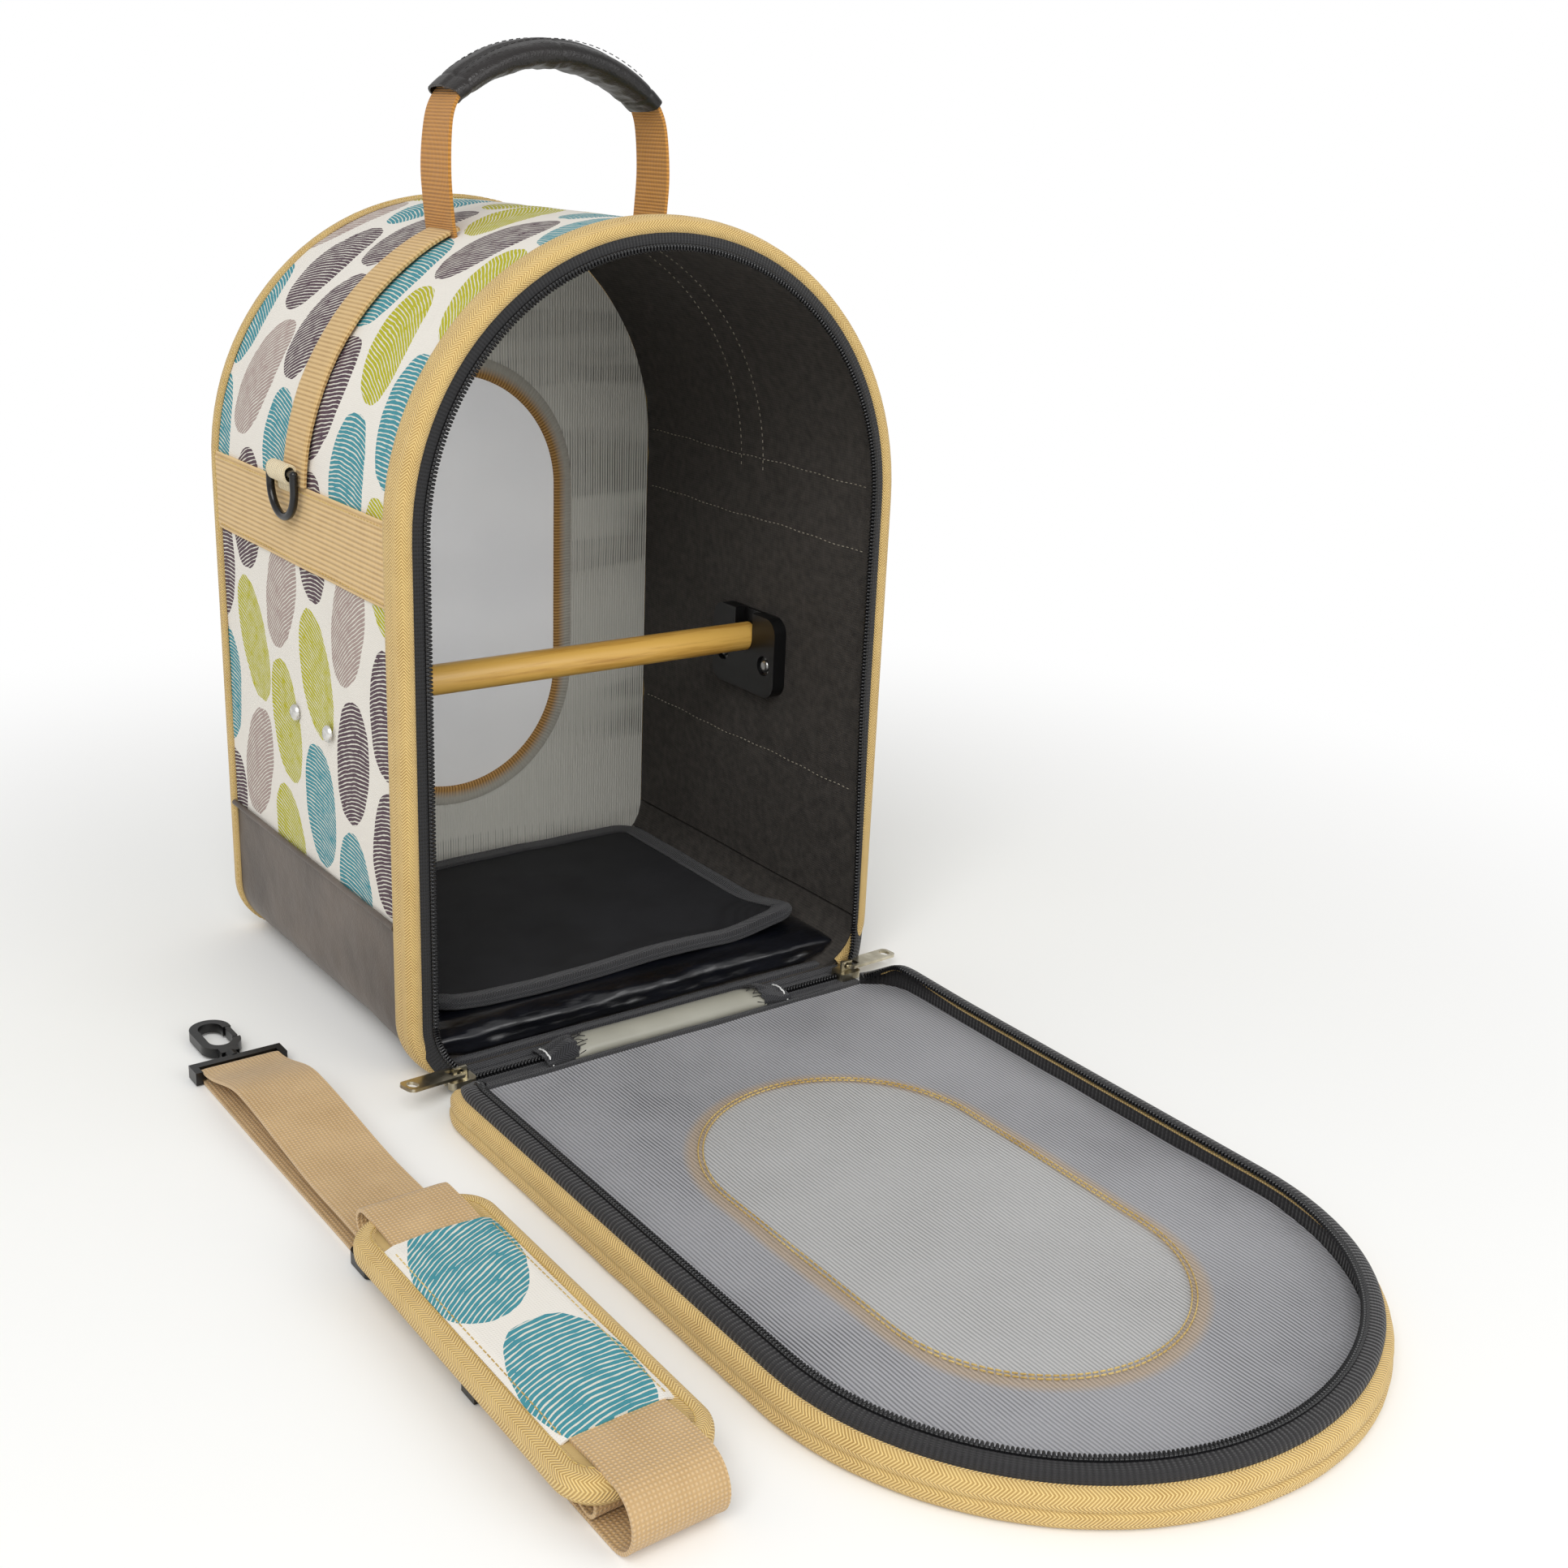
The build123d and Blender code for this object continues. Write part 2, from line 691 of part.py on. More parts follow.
with BuildPart() as bracket_washers:
    for side in (-1, 1):
        with BuildSketch(Plane.YZ.offset(side * (washer_face_x - ply_gap / 2))):
            with Locations(*screw_points):
                Circle(washer_d / 2)
                Circle(screw_d / 2 + screw_clear, mode=Mode.SUBTRACT)
        extrude(amount=-side * washer_t)
finish(bracket_washers.part, "bracket_washers")

with BuildPart() as bracket_screws:
    head_face_x = washer_face_x - ply_gap - washer_t
    for side in (-1, 1):
        with BuildSketch(Plane.YZ.offset(side * head_face_x)):
            with Locations(*screw_points):
                Circle(screw_head_d / 2)
        extrude(amount=-side * screw_head_t)
        with BuildSketch(Plane.YZ.offset(side * head_face_x)):
            with Locations(*screw_points):
                Circle(screw_d / 2)
        extrude(amount=side * (shank_end_x - head_face_x))
finish(bracket_screws.part, "bracket_screws")

with BuildPart() as bracket_nuts:
    for side in (-1, 1):
        with BuildSketch(Plane.YZ.offset(side * (half_w + ply_gap))):
            with Locations(*screw_points):
                Circle(nut_d / 2)
                Circle(screw_d / 2 + screw_clear / 2, mode=Mode.SUBTRACT)
        extrude(amount=side * nut_t)
finish(bracket_nuts.part, "bracket_nuts")

perch_l = 2 * (wall_x - ply_gap - bracket_plate_t - perch_end_clear)
with BuildPart() as perch:
    with BuildSketch(Plane.YZ.offset(-perch_l / 2)):
        with Locations((perch_y, perch_z)):
            Circle(perch_d / 2)
    extrude(amount=perch_l)
    chamfer(perch.edges().filter_by(GeomType.CIRCLE), length=perch_chamfer)
finish(perch.part, "perch")

# ---------------------------------------------------------------- floor cushion and lift-out tray

cushion_back_y = board_back_y - window_trim_t - cushion_back
cushion_front_y = front_y + cushion_front
with BuildPart() as floor_cushion:
    with BuildSketch(section_plane(cushion_back_y)) as cushion_section:
        add(arch_sketch(cushion_z))
        split(bisect_by=Plane.XZ.offset(-(cushion_z + cushion_h)), keep=Keep.TOP)
    extrude(amount=cushion_back_y - cushion_front_y)
    fillet(
        floor_cushion.edges().filter_by(Axis.X).group_by(Axis.Z)[-1].sort_by(Axis.Y)[0],
        radius=cushion_round,
    )
finish(floor_cushion.part, "floor_cushion")

tray_mid_y = front_y + tray_front + tray_d / 2
with BuildPart() as floor_tray:
    with BuildSketch(Plane.XY.offset(tray_z)):
        with Locations((0, tray_mid_y)):
            RectangleRounded(tray_w - 2 * tray_edge_w, tray_d - 2 * tray_edge_w, tray_r - tray_edge_w)
    extrude(amount=tray_t)
finish(floor_tray.part, "floor_tray")

with BuildPart() as tray_binding:
    with BuildSketch(Plane.XY.offset(tray_z)):
        with Locations((0, tray_mid_y)):
            RectangleRounded(tray_w, tray_d, tray_r)
            RectangleRounded(
                tray_w - 2 * tray_edge_w + 2 * ply_gap,
                tray_d - 2 * tray_edge_w + 2 * ply_gap,
                tray_r - tray_edge_w + ply_gap,
                mode=Mode.SUBTRACT,
            )
    extrude(amount=tray_edge_t)
finish(tray_binding.part, "tray_binding")

# ---------------------------------------------------------------- shoulder strap

pad_end_y = pad_y - pad_l / 2
pad_head_y = pad_y + pad_l / 2
web_half = strap_web_t / 2
pad_top = pad_z + pad_t
over_pad_z = pad_top + pad_edge_over + ply_gap + web_half
tunnel_z = pad_top + ply_gap + web_half
floor_z = web_half
under_z = pad_z - ply_gap - web_half
lower_z = under_z - strap_web_t - 2 * ply_gap
wrap_r = eye_bar_d / 2 + ply_gap + web_half
run_top_z = hook_z + wrap_r
run_rise = 6.0
run_rise_y = 60.0
inner_loop_y = pad_end_y + inner_loop_in
inner_loop_z = floor_z + strap_web_t + 2 * ply_gap
head_fold_y = pad_head_y + head_fold_out
end_loop_y = pad_end_y - end_loop_out
backwards = ((-1, 0), (-1, 0))


def half_turn(start, end):
    """Half circle between two level runs, one above the other, bulging the way the lower run points."""
    radius = (end[1] - start[1]) / 2
    bulge = start[2] * abs(radius)
    return ThreePointArc(start[:2], (start[0] + bulge, start[1] + radius), end)


with BuildPart() as strap_webbing:
    with BuildSketch(Plane.YZ.offset(strap_x - strap_web_w / 2)):
        with BuildLine() as route:
            Line((slide_buckle_y, floor_z), (hook_a_y, hook_z - wrap_r))
            half_turn((hook_a_y, hook_z - wrap_r, 1), (hook_a_y, run_top_z))
            Spline(
                (hook_a_y, run_top_z),
                (hook_a_y - run_rise_y, run_top_z + run_rise),
                (head_fold_y + fold_run, lower_z + web_half),
                (pad_head_y - rim_run, lower_z),
                tangents=backwards,
            )
            Line((pad_head_y - rim_run, lower_z), (inner_loop_y + rim_run, lower_z))
            Spline((inner_loop_y + rim_run, lower_z), (inner_loop_y, inner_loop_z), tangents=backwards)
            half_turn((inner_loop_y, inner_loop_z, -1), (inner_loop_y, under_z))
            Line((inner_loop_y, under_z), (head_fold_y, under_z))
            half_turn((head_fold_y, under_z, 1), (head_fold_y, over_pad_z))
            Line((head_fold_y, over_pad_z), (pad_head_y - rim_in, over_pad_z))
            Spline((pad_head_y - rim_in, over_pad_z), (pad_head_y - rim_run, tunnel_z), tangents=backwards)
            Line((pad_head_y - rim_run, tunnel_z), (pad_end_y + rim_run, tunnel_z))
            Spline((pad_end_y + rim_run, tunnel_z), (pad_end_y + rim_in, over_pad_z), tangents=backwards)
            Line((pad_end_y + rim_in, over_pad_z), (end_loop_y, over_pad_z))
            half_turn((end_loop_y, over_pad_z, -1), (end_loop_y, floor_z))
            Line((end_loop_y, floor_z), (hook_b_y, hook_z - wrap_r))
            half_turn((hook_b_y, hook_z - wrap_r, 1), (hook_b_y, run_top_z))
            Line((hook_b_y, run_top_z), (hook_b_y - hook_tail, run_top_z))
        trace(line_width=strap_web_t)
    extrude(amount=strap_web_w)
finish(strap_webbing.part, "strap_webbing")

with BuildPart() as strap_pad:
    with BuildSketch(Plane.XY.offset(pad_z)):
        with Locations((strap_x, pad_y)):
            RectangleRounded(pad_w - 2 * pad_edge_w, pad_l - 2 * pad_edge_w, pad_r - pad_edge_w)
    extrude(amount=pad_t)
finish(strap_pad.part, "strap_pad")

with BuildPart() as pad_binding:
    with BuildSketch(Plane.XY.offset(pad_z)):
        with Locations((strap_x, pad_y)):
            RectangleRounded(pad_w, pad_l, pad_r)
            RectangleRounded(
                pad_w - 2 * pad_edge_w + 2 * ply_gap,
                pad_l - 2 * pad_edge_w + 2 * ply_gap,
                pad_r - pad_edge_w + ply_gap,
                mode=Mode.SUBTRACT,
            )
    extrude(amount=pad_t + pad_edge_over)
finish(pad_binding.part, "pad_binding")

with BuildPart() as pad_cover:
    cover_under_z = tunnel_z + web_half + ply_gap
    with BuildSketch(Plane.XZ.offset(-(pad_y + cover_l / 2))):
        with Locations((strap_x, (pad_top + ply_gap + cover_under_z + cover_t) / 2)):
            Rectangle(cover_w, cover_under_z + cover_t - pad_top - ply_gap)
        with Locations((strap_x, (pad_top + cover_under_z) / 2)):
            Rectangle(strap_web_w + 2 * soft_gap, cover_under_z - pad_top, mode=Mode.SUBTRACT)
    extrude(amount=cover_l)
finish(pad_cover.part, "pad_cover")

buckle_channel = strap_web_w + 2 * soft_gap
with BuildPart() as slide_buckle:
    buckle_y = slide_buckle_y + buckle_l / 2
    with BuildSketch(Plane.XY.offset(ply_gap)):
        with Locations((strap_x, buckle_y)):
            RectangleRounded(buckle_channel + 2 * buckle_rail, buckle_l, buckle_rail)
    extrude(amount=strap_web_t + ply_gap + buckle_h)
    with BuildSketch(Plane.XY):
        with Locations((strap_x, buckle_y)):
            Rectangle(buckle_channel, buckle_l)
    extrude(amount=strap_web_t + soft_gap, mode=Mode.SUBTRACT)
    with BuildSketch(Plane.XY):
        slot_l = (buckle_l - 3 * buckle_bar) / 2
        with Locations((strap_x, buckle_y)):
            with GridLocations(0, slot_l + buckle_bar, 1, 2):
                Rectangle(buckle_channel, slot_l)
    extrude(amount=strap_web_t + 2 * buckle_h, mode=Mode.SUBTRACT)
finish(slide_buckle.part, "slide_buckle")

# ---------------------------------------------------------------- swivel snap hooks

eye_slot = strap_web_w + 2 * soft_gap
eye_slot_l = ply_gap + strap_web_t + ply_gap + soft_gap
bridge_y = eye_bar_d / 2 + eye_slot_l
collar_y = bridge_y + eye_bridge
neck_y = collar_y + collar_l + soft_gap
ring_y0 = neck_y + neck_l
gate_x = hook_w / 2 - hook_bar / 2
gate_y = ring_y0 + hook_w / 2 + gate_t / 2


def hook_eye(bar_y):
    """Strap eye of a snap hook: a bar, two cheeks, and a bridge with the collar of the swivel."""
    with BuildPart() as eye:
        with BuildSketch(Plane.XY.offset(hook_z - eye_t / 2)):
            with Locations((strap_x, bar_y + (collar_y - eye_bar_d / 2) / 2)):
                Rectangle(eye_slot + 2 * eye_cheek, collar_y + eye_bar_d / 2)
        extrude(amount=eye_t)
        with BuildSketch(Plane.XY.offset(hook_z - eye_t / 2)):
            with Locations((strap_x, bar_y + (bridge_y - eye_bar_d / 2) / 2)):
                Rectangle(eye_slot, bridge_y + eye_bar_d / 2)
        extrude(amount=eye_t, mode=Mode.SUBTRACT)
        with BuildSketch(Plane.YZ.offset(strap_x - eye_slot / 2)):
            with Locations((bar_y, hook_z)):
                Circle(eye_bar_d / 2)
        extrude(amount=eye_slot)
        with BuildSketch(Plane.XZ.offset(-(bar_y + collar_y))):
            with Locations((strap_x, hook_z)):
                Circle(collar_d / 2)
        extrude(amount=-collar_l)
        with BuildSketch(Plane.XZ.offset(-(bar_y + bridge_y))):
            with Locations((strap_x, hook_z)):
                Circle(swivel_d / 2 + swivel_clear)
        extrude(amount=-(eye_bridge + collar_l), mode=Mode.SUBTRACT)
        with BuildSketch(Plane.XZ.offset(-(bar_y + bridge_y))):
            with Locations((strap_x, hook_z)):
                Circle(swivel_head_d / 2 + soft_gap)
        extrude(amount=-(swivel_head_t + 2 * soft_gap), mode=Mode.SUBTRACT)
    return eye.part


def hook_body(bar_y):
    """Hook that turns in the collar: a headed pin, a neck, and a ring with a gap for the gate."""
    head_y = bar_y + bridge_y + soft_gap
    with BuildPart() as hook:
        with BuildSketch(Plane.XZ.offset(-head_y)):
            with Locations((strap_x, hook_z)):
                Circle(swivel_head_d / 2)
        extrude(amount=-swivel_head_t)
        with BuildSketch(Plane.XZ.offset(-head_y)):
            with Locations((strap_x, hook_z)):
                Circle(swivel_d / 2)
        extrude(amount=-(neck_y - bridge_y))
        with BuildSketch(Plane.XY.offset(hook_z - hook_t / 2)):
            with Locations((strap_x, bar_y + ring_y0 + hook_l / 2)):
                SlotOverall(hook_l, hook_w, rotation=90)
            with Locations((strap_x, bar_y + neck_y + (neck_l + hook_bar) / 2)):
                Rectangle(neck_w, neck_l + hook_bar)
            with Locations((strap_x, bar_y + ring_y0 + hook_l / 2)):
                SlotOverall(hook_l - 2 * hook_bar, hook_w - 2 * hook_bar, rotation=90, mode=Mode.SUBTRACT)
            with Locations((strap_x + gate_x, bar_y + gate_y + (gate_l - gate_t) / 2)):
                Rectangle(2 * hook_bar, gate_l + 2 * gate_clear, mode=Mode.SUBTRACT)
        extrude(amount=hook_t)
    return hook.part


def hook_gate(bar_y):
    """Sprung tongue that closes the hook's gap and turns inwards about its lower round end."""
    with BuildPart() as gate:
        with BuildSketch(Plane.XY.offset(hook_z - hook_t / 2)):
            with Locations((strap_x + gate_x, bar_y + gate_y + (gate_l - gate_t) / 2)):
                SlotOverall(gate_l, gate_t, rotation=90)
        extrude(amount=hook_t)
    return gate.part


for bar_y, hand in ((hook_a_y, "open"), (hook_b_y, "tucked")):
    finish(hook_eye(bar_y), f"{hand}_hook_eye")
    finish(hook_body(bar_y), f"{hand}_hook_body")
    finish(hook_gate(bar_y), f"{hand}_hook_gate")

print("strap webbing length", round(route.wires()[0].length, 1))
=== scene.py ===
"""Looks of the bird travel carrier, dressed on its fixed frame. Metres, +Z up, the open front faces -Y."""

import math

import bpy
from mathutils import Matrix, Vector, noise


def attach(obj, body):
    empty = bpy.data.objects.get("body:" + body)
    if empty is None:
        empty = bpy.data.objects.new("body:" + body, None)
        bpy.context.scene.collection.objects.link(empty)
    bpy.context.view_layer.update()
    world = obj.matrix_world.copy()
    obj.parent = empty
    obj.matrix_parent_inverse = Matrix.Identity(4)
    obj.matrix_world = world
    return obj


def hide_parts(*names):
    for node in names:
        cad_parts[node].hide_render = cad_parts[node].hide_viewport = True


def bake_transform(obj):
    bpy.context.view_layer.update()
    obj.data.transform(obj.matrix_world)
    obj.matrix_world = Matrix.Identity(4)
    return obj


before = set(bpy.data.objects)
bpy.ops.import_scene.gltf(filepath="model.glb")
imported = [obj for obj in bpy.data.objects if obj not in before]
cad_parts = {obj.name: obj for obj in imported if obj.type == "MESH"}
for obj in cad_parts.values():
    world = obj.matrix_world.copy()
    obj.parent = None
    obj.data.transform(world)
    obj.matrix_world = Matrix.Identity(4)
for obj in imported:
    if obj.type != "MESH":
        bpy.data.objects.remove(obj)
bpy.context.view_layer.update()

MM = 0.001
SIDES = ((-1, "left"), (1, "right"))

# ---------------------------------------------------------------- sizes of the carrier, in millimetres

HALF_W = 136.0
SPRING = 264.0
CORNER = 30.0
CORNER_RUN = CORNER * math.pi / 2
WALL_RUN = SPRING - CORNER
ARCH_RUN = 2 * CORNER_RUN + 2 * WALL_RUN + math.pi * HALF_W
FRONT_Y, BACK_Y = -112.0, 112.0
BODY_D = BACK_Y - FRONT_Y
DOOR_Y0 = -134.6
SKIRT_TOP, SKIRT_RUN = 78.0, 402.2
WINDOW_HALF, WINDOW_RUN = 68.5, 55.0
WINDOW_Z, DOOR_WINDOW_H = 184.0, 201.0
PEBBLE_ROW, PEBBLE_STEP = 40.0, 68.0
STITCH = (2.2, 0.5, 0.5)

# ---------------------------------------------------------------- camera, light and floor

# the camera's focal length and the picture's width, both in pixels
FOCAL_PX, PICTURE_PX = 2303.1, 1932
CAMERA_AT, CAMERA_AIM, CAMERA_ROLL = (-0.4834, -0.8507, 0.4398), (-0.02885, -0.25308, 0.17922), 2.64


def make_camera():
    """Stands where the carrier is seen from its front left, a little above."""
    bpy.ops.object.camera_add(location=CAMERA_AT)
    camera = bpy.context.object
    camera.name = "studio_camera"
    camera.data.sensor_width = 36
    camera.data.lens = camera.data.sensor_width * FOCAL_PX / PICTURE_PX
    camera.data.clip_start = 0.01
    camera.data.clip_end = 50
    aim = Vector(CAMERA_AIM) - camera.location
    roll = Matrix.Rotation(math.radians(CAMERA_ROLL), 4, "Z").to_quaternion()
    camera.rotation_mode = "QUATERNION"
    camera.rotation_quaternion = aim.to_track_quat("-Z", "Y") @ roll
    bpy.context.scene.camera = camera


def srgb(text):
    """Linear colour of an sRGB hex value, as a socket takes it."""
    parts = [int(text[i : i + 2], 16) / 255 for i in (0, 2, 4)]
    return [c / 12.92 if c <= 0.04045 else ((c + 0.055) / 1.055) ** 2.4 for c in parts] + [1.0]


def add_node(material, kind, links=None, **settings):
    """One node with its settings; links maps a socket to a value or to another node's output."""
    node = material.node_tree.nodes.new(kind)
    for name, value in settings.items():
        setattr(node, name, value)
    for socket, value in (links or {}).items():
        if isinstance(value, bpy.types.NodeSocket):
            material.node_tree.links.new(value, node.inputs[socket])
        else:
            node.inputs[socket].default_value = value
    return node


def calc(material, operation, *values):
    """Result of one sum on numbers or patterns."""
    return add_node(material, "ShaderNodeMath", dict(enumerate(values)), operation=operation).outputs[0]


def studio():
    """Plain pale floor, even white surroundings and two large soft lamps in front."""
    world = bpy.data.worlds.new("studio_air")
    bpy.context.scene.world = world
    world.use_nodes = True
    world.node_tree.nodes.clear()
    seen_directly = add_node(world, "ShaderNodeLightPath").outputs["Is Camera Ray"]
    white = (1, 1, 1, 1)
    seen = add_node(world, "ShaderNodeBackground", {0: white, 1: 1.0})
    light = add_node(world, "ShaderNodeBackground", {0: white, 1: 0.62})
    pick = add_node(world, "ShaderNodeMixShader", {0: seen_directly, 1: light.outputs[0], 2: seen.outputs[0]})
    add_node(world, "ShaderNodeOutputWorld", {0: pick.outputs[0]})
    for name, spot, aim, size, power in (
        ("key_lamp", (-1.3, -1.5, 1.9), (0, -0.1, 0.2), 1.6, 34),
        ("front_lamp", (0.5, -1.9, 1.0), (0, 0, 0.15), 1.2, 9),
    ):
        bpy.ops.object.light_add(type="AREA", location=spot)
        lamp = bpy.context.object
        lamp.name = name
        lamp.data.size = size
        lamp.data.energy = power
        lamp.rotation_euler = (Vector(aim) - Vector(spot)).to_track_quat("-Z", "Y").to_euler()
    bpy.ops.mesh.primitive_plane_add(size=9, location=(0, 0, -0.0004))
    floor = bpy.context.object
    floor.name = "studio_floor"
    paper, shader = start_material("floor_paper", 0.9, colour="F7F7F5")
    # the paper runs out to plain white away from the carrier, as a lit backdrop does
    spot = add_node(paper, "ShaderNodeNewGeometry").outputs["Position"]
    far = add_node(paper, "ShaderNodeVectorMath", {0: spot, 1: (0, -0.12, 0)}, operation="DISTANCE")
    reach = {0: far.outputs["Value"], 1: 0.30, 2: 0.85}
    fade = add_node(paper, "ShaderNodeMapRange", reach, interpolation_type="SMOOTHSTEP").outputs[0]
    seen_white = calc(paper, "MULTIPLY", fade, add_node(paper, "ShaderNodeLightPath").outputs[0])
    glow = add_node(paper, "ShaderNodeEmission", {0: white, 1: 1.0})
    blend = add_node(paper, "ShaderNodeMixShader", {0: seen_white, 1: shader.outputs[0], 2: glow.outputs[0]})
    paper.node_tree.links.new(blend.outputs[0], paper.node_tree.nodes["Material Output"].inputs[0])
    floor.data.materials.append(paper)


# ---------------------------------------------------------------- materials


def start_material(name, roughness, metallic=0.0, colour=None):
    """New material with its main shader; the colour may be linked later."""
    material = bpy.data.materials.new(name)
    material.use_nodes = True
    shader = material.node_tree.nodes["Principled BSDF"]
    shader.inputs["Roughness"].default_value = roughness
    shader.inputs["Metallic"].default_value = metallic
    if colour:
        shader.inputs["Base Color"].default_value = srgb(colour)
    return material, shader


def relief(material, shader, height, depth_mm):
    """Raises the surface by a height pattern, depth_mm from its lowest to its highest."""
    bump = add_node(material, "ShaderNodeBump", {"Height": height, "Distance": depth_mm * MM, "Strength": 1.0})
    material.node_tree.links.new(bump.outputs[0], shader.inputs["Normal"])
    return material


def surface(material, shader, colour, height, depth_mm, sheen=0.0, coat=0.0):
    """Gives the shader its pattern of colour, its relief, and any soft sheen or clear coat."""
    material.node_tree.links.new(colour, shader.inputs["Base Color"])
    shader.inputs["Sheen Weight"].default_value = sheen
    shader.inputs["Coat Weight"].default_value = coat
    return relief(material, shader, height, depth_mm)


def two_tones(material, share, low, high, at=(0.0, 1.0)):
    """Colour that goes from low to high as the share rises."""
    ramp = add_node(material, "ShaderNodeValToRGB", {0: share})
    for stop, position, tone in zip(ramp.color_ramp.elements, at, (low, high)):
        stop.position, stop.color = position, srgb(tone)
    return ramp.outputs["Color"]


def mixed(material, share, one, other):
    """Colour between one and the other."""
    return add_node(material, "ShaderNodeMix", {0: share, 6: one, 7: other}, data_type="RGBA").outputs[2]


def fitted(material, value, start, end, high=1.0):
    """Rises from 0 at the start to high at the end, and stays level beyond them."""
    return add_node(material, "ShaderNodeMapRange", {0: value, 1: start, 2: end, 3: 0.0, 4: high}).outputs[0]


def waves(material, along, pitch_mm, shift=None):
    """Smooth ridges, one for each pitch of a length in metres; 0 in the grooves and 1 on the ridges."""
    turn = calc(material, "MULTIPLY", along, 2 * math.pi / (pitch_mm * MM))
    if shift is not None:
        turn = calc(material, "ADD", turn, shift)
    return calc(material, "MULTIPLY_ADD", calc(material, "SINE", turn), 0.5, 0.5)


def cloth_place(material, by="UV"):
    """A point of the cloth, and its lengths in metres: along the piece, across it, and up."""
    place = add_node(material, "ShaderNodeTexCoord").outputs[by]
    return place, add_node(material, "ShaderNodeSeparateXYZ", {0: place}).outputs


def patches(material, place, size_mm, detail=2.0, roughness=0.5):
    """Soft uneven patches of about that size, from 0 to 1."""
    cloud = {"Vector": place, "Scale": 1000.0 / size_mm, "Detail": detail, "Roughness": roughness}
    return add_node(material, "ShaderNodeTexNoise", cloud).outputs["Fac"]


def drawn_out(material, place, across):
    """The place with its pattern drawn out along X, as in grain and folds."""
    return add_node(material, "ShaderNodeMapping", {"Vector": place, "Scale": (across, 1.0, 1.0)}).outputs[0]


def herringbone_tape(name, dark, light, roughness=0.85):
    """Cotton twill tape woven in a zigzag: matte, with fine ridges that change side every few millimetres."""
    material, shader = start_material(name, roughness)
    place, (along, across, _) = cloth_place(material)
    # real threads are 0.6 mm apart; they are drawn at 1.5 mm so that the zigzag shows
    fold = calc(material, "PINGPONG", across, 3.2 * MM)
    ridge = waves(material, calc(material, "ADD", along, fold), 1.5)
    share = calc(material, "MULTIPLY_ADD", patches(material, place, 14.0, 3.0), 0.5, ridge)
    colour = two_tones(material, share, dark, light, (0.1, 1.25))
    return surface(material, shader, colour, ridge, 0.35, sheen=0.15)


def ribbed_webbing(name, dark, light, pitch_mm, ribs="along", roughness=0.75):
    """Woven webbing with raised ribs: each rib painted lighter as a painted highlight and the grooves between them
    painted darker as painted shade.
    """
    material, shader = start_material(name, roughness)
    place, (along, across, _) = cloth_place(material)
    if ribs == "across":
        along, across = across, along
    ridge = waves(material, across, pitch_mm)
    both = calc(material, "MULTIPLY_ADD", waves(material, along, 1.1), 0.3, ridge)
    share = calc(material, "MULTIPLY_ADD", patches(material, place, 9.0, 3.0), 0.5, both)
    # painted highlight and shade: the colour is lighter on the ribs and darker in the grooves
    colour = two_tones(material, share, dark, light, (0.1, 1.5))
    return surface(material, shader, colour, both, 0.4, sheen=0.2)


def basket_weave(name, dark, light, pitch_mm):
    """Basket-woven strap webbing: small raised squares, each painted lighter in turn as a painted highlight."""
    material, shader = start_material(name, 0.7)
    place, (along, across, _) = cloth_place(material)
    cross = calc(material, "MULTIPLY", waves(material, along, pitch_mm), waves(material, across, pitch_mm))
    share = calc(material, "MULTIPLY_ADD", patches(material, place, 25.0, 4.0), 0.8, cross)
    # painted highlight: the raised squares lighten the colour
    colour = two_tones(material, share, dark, light, (0.15, 1.1))
    return surface(material, shader, colour, cross, 0.4, sheen=0.2)


LIME, TEAL, PLUM, TAUPE = "B3AE14", "3F8C98", "54404A", "A6928C"


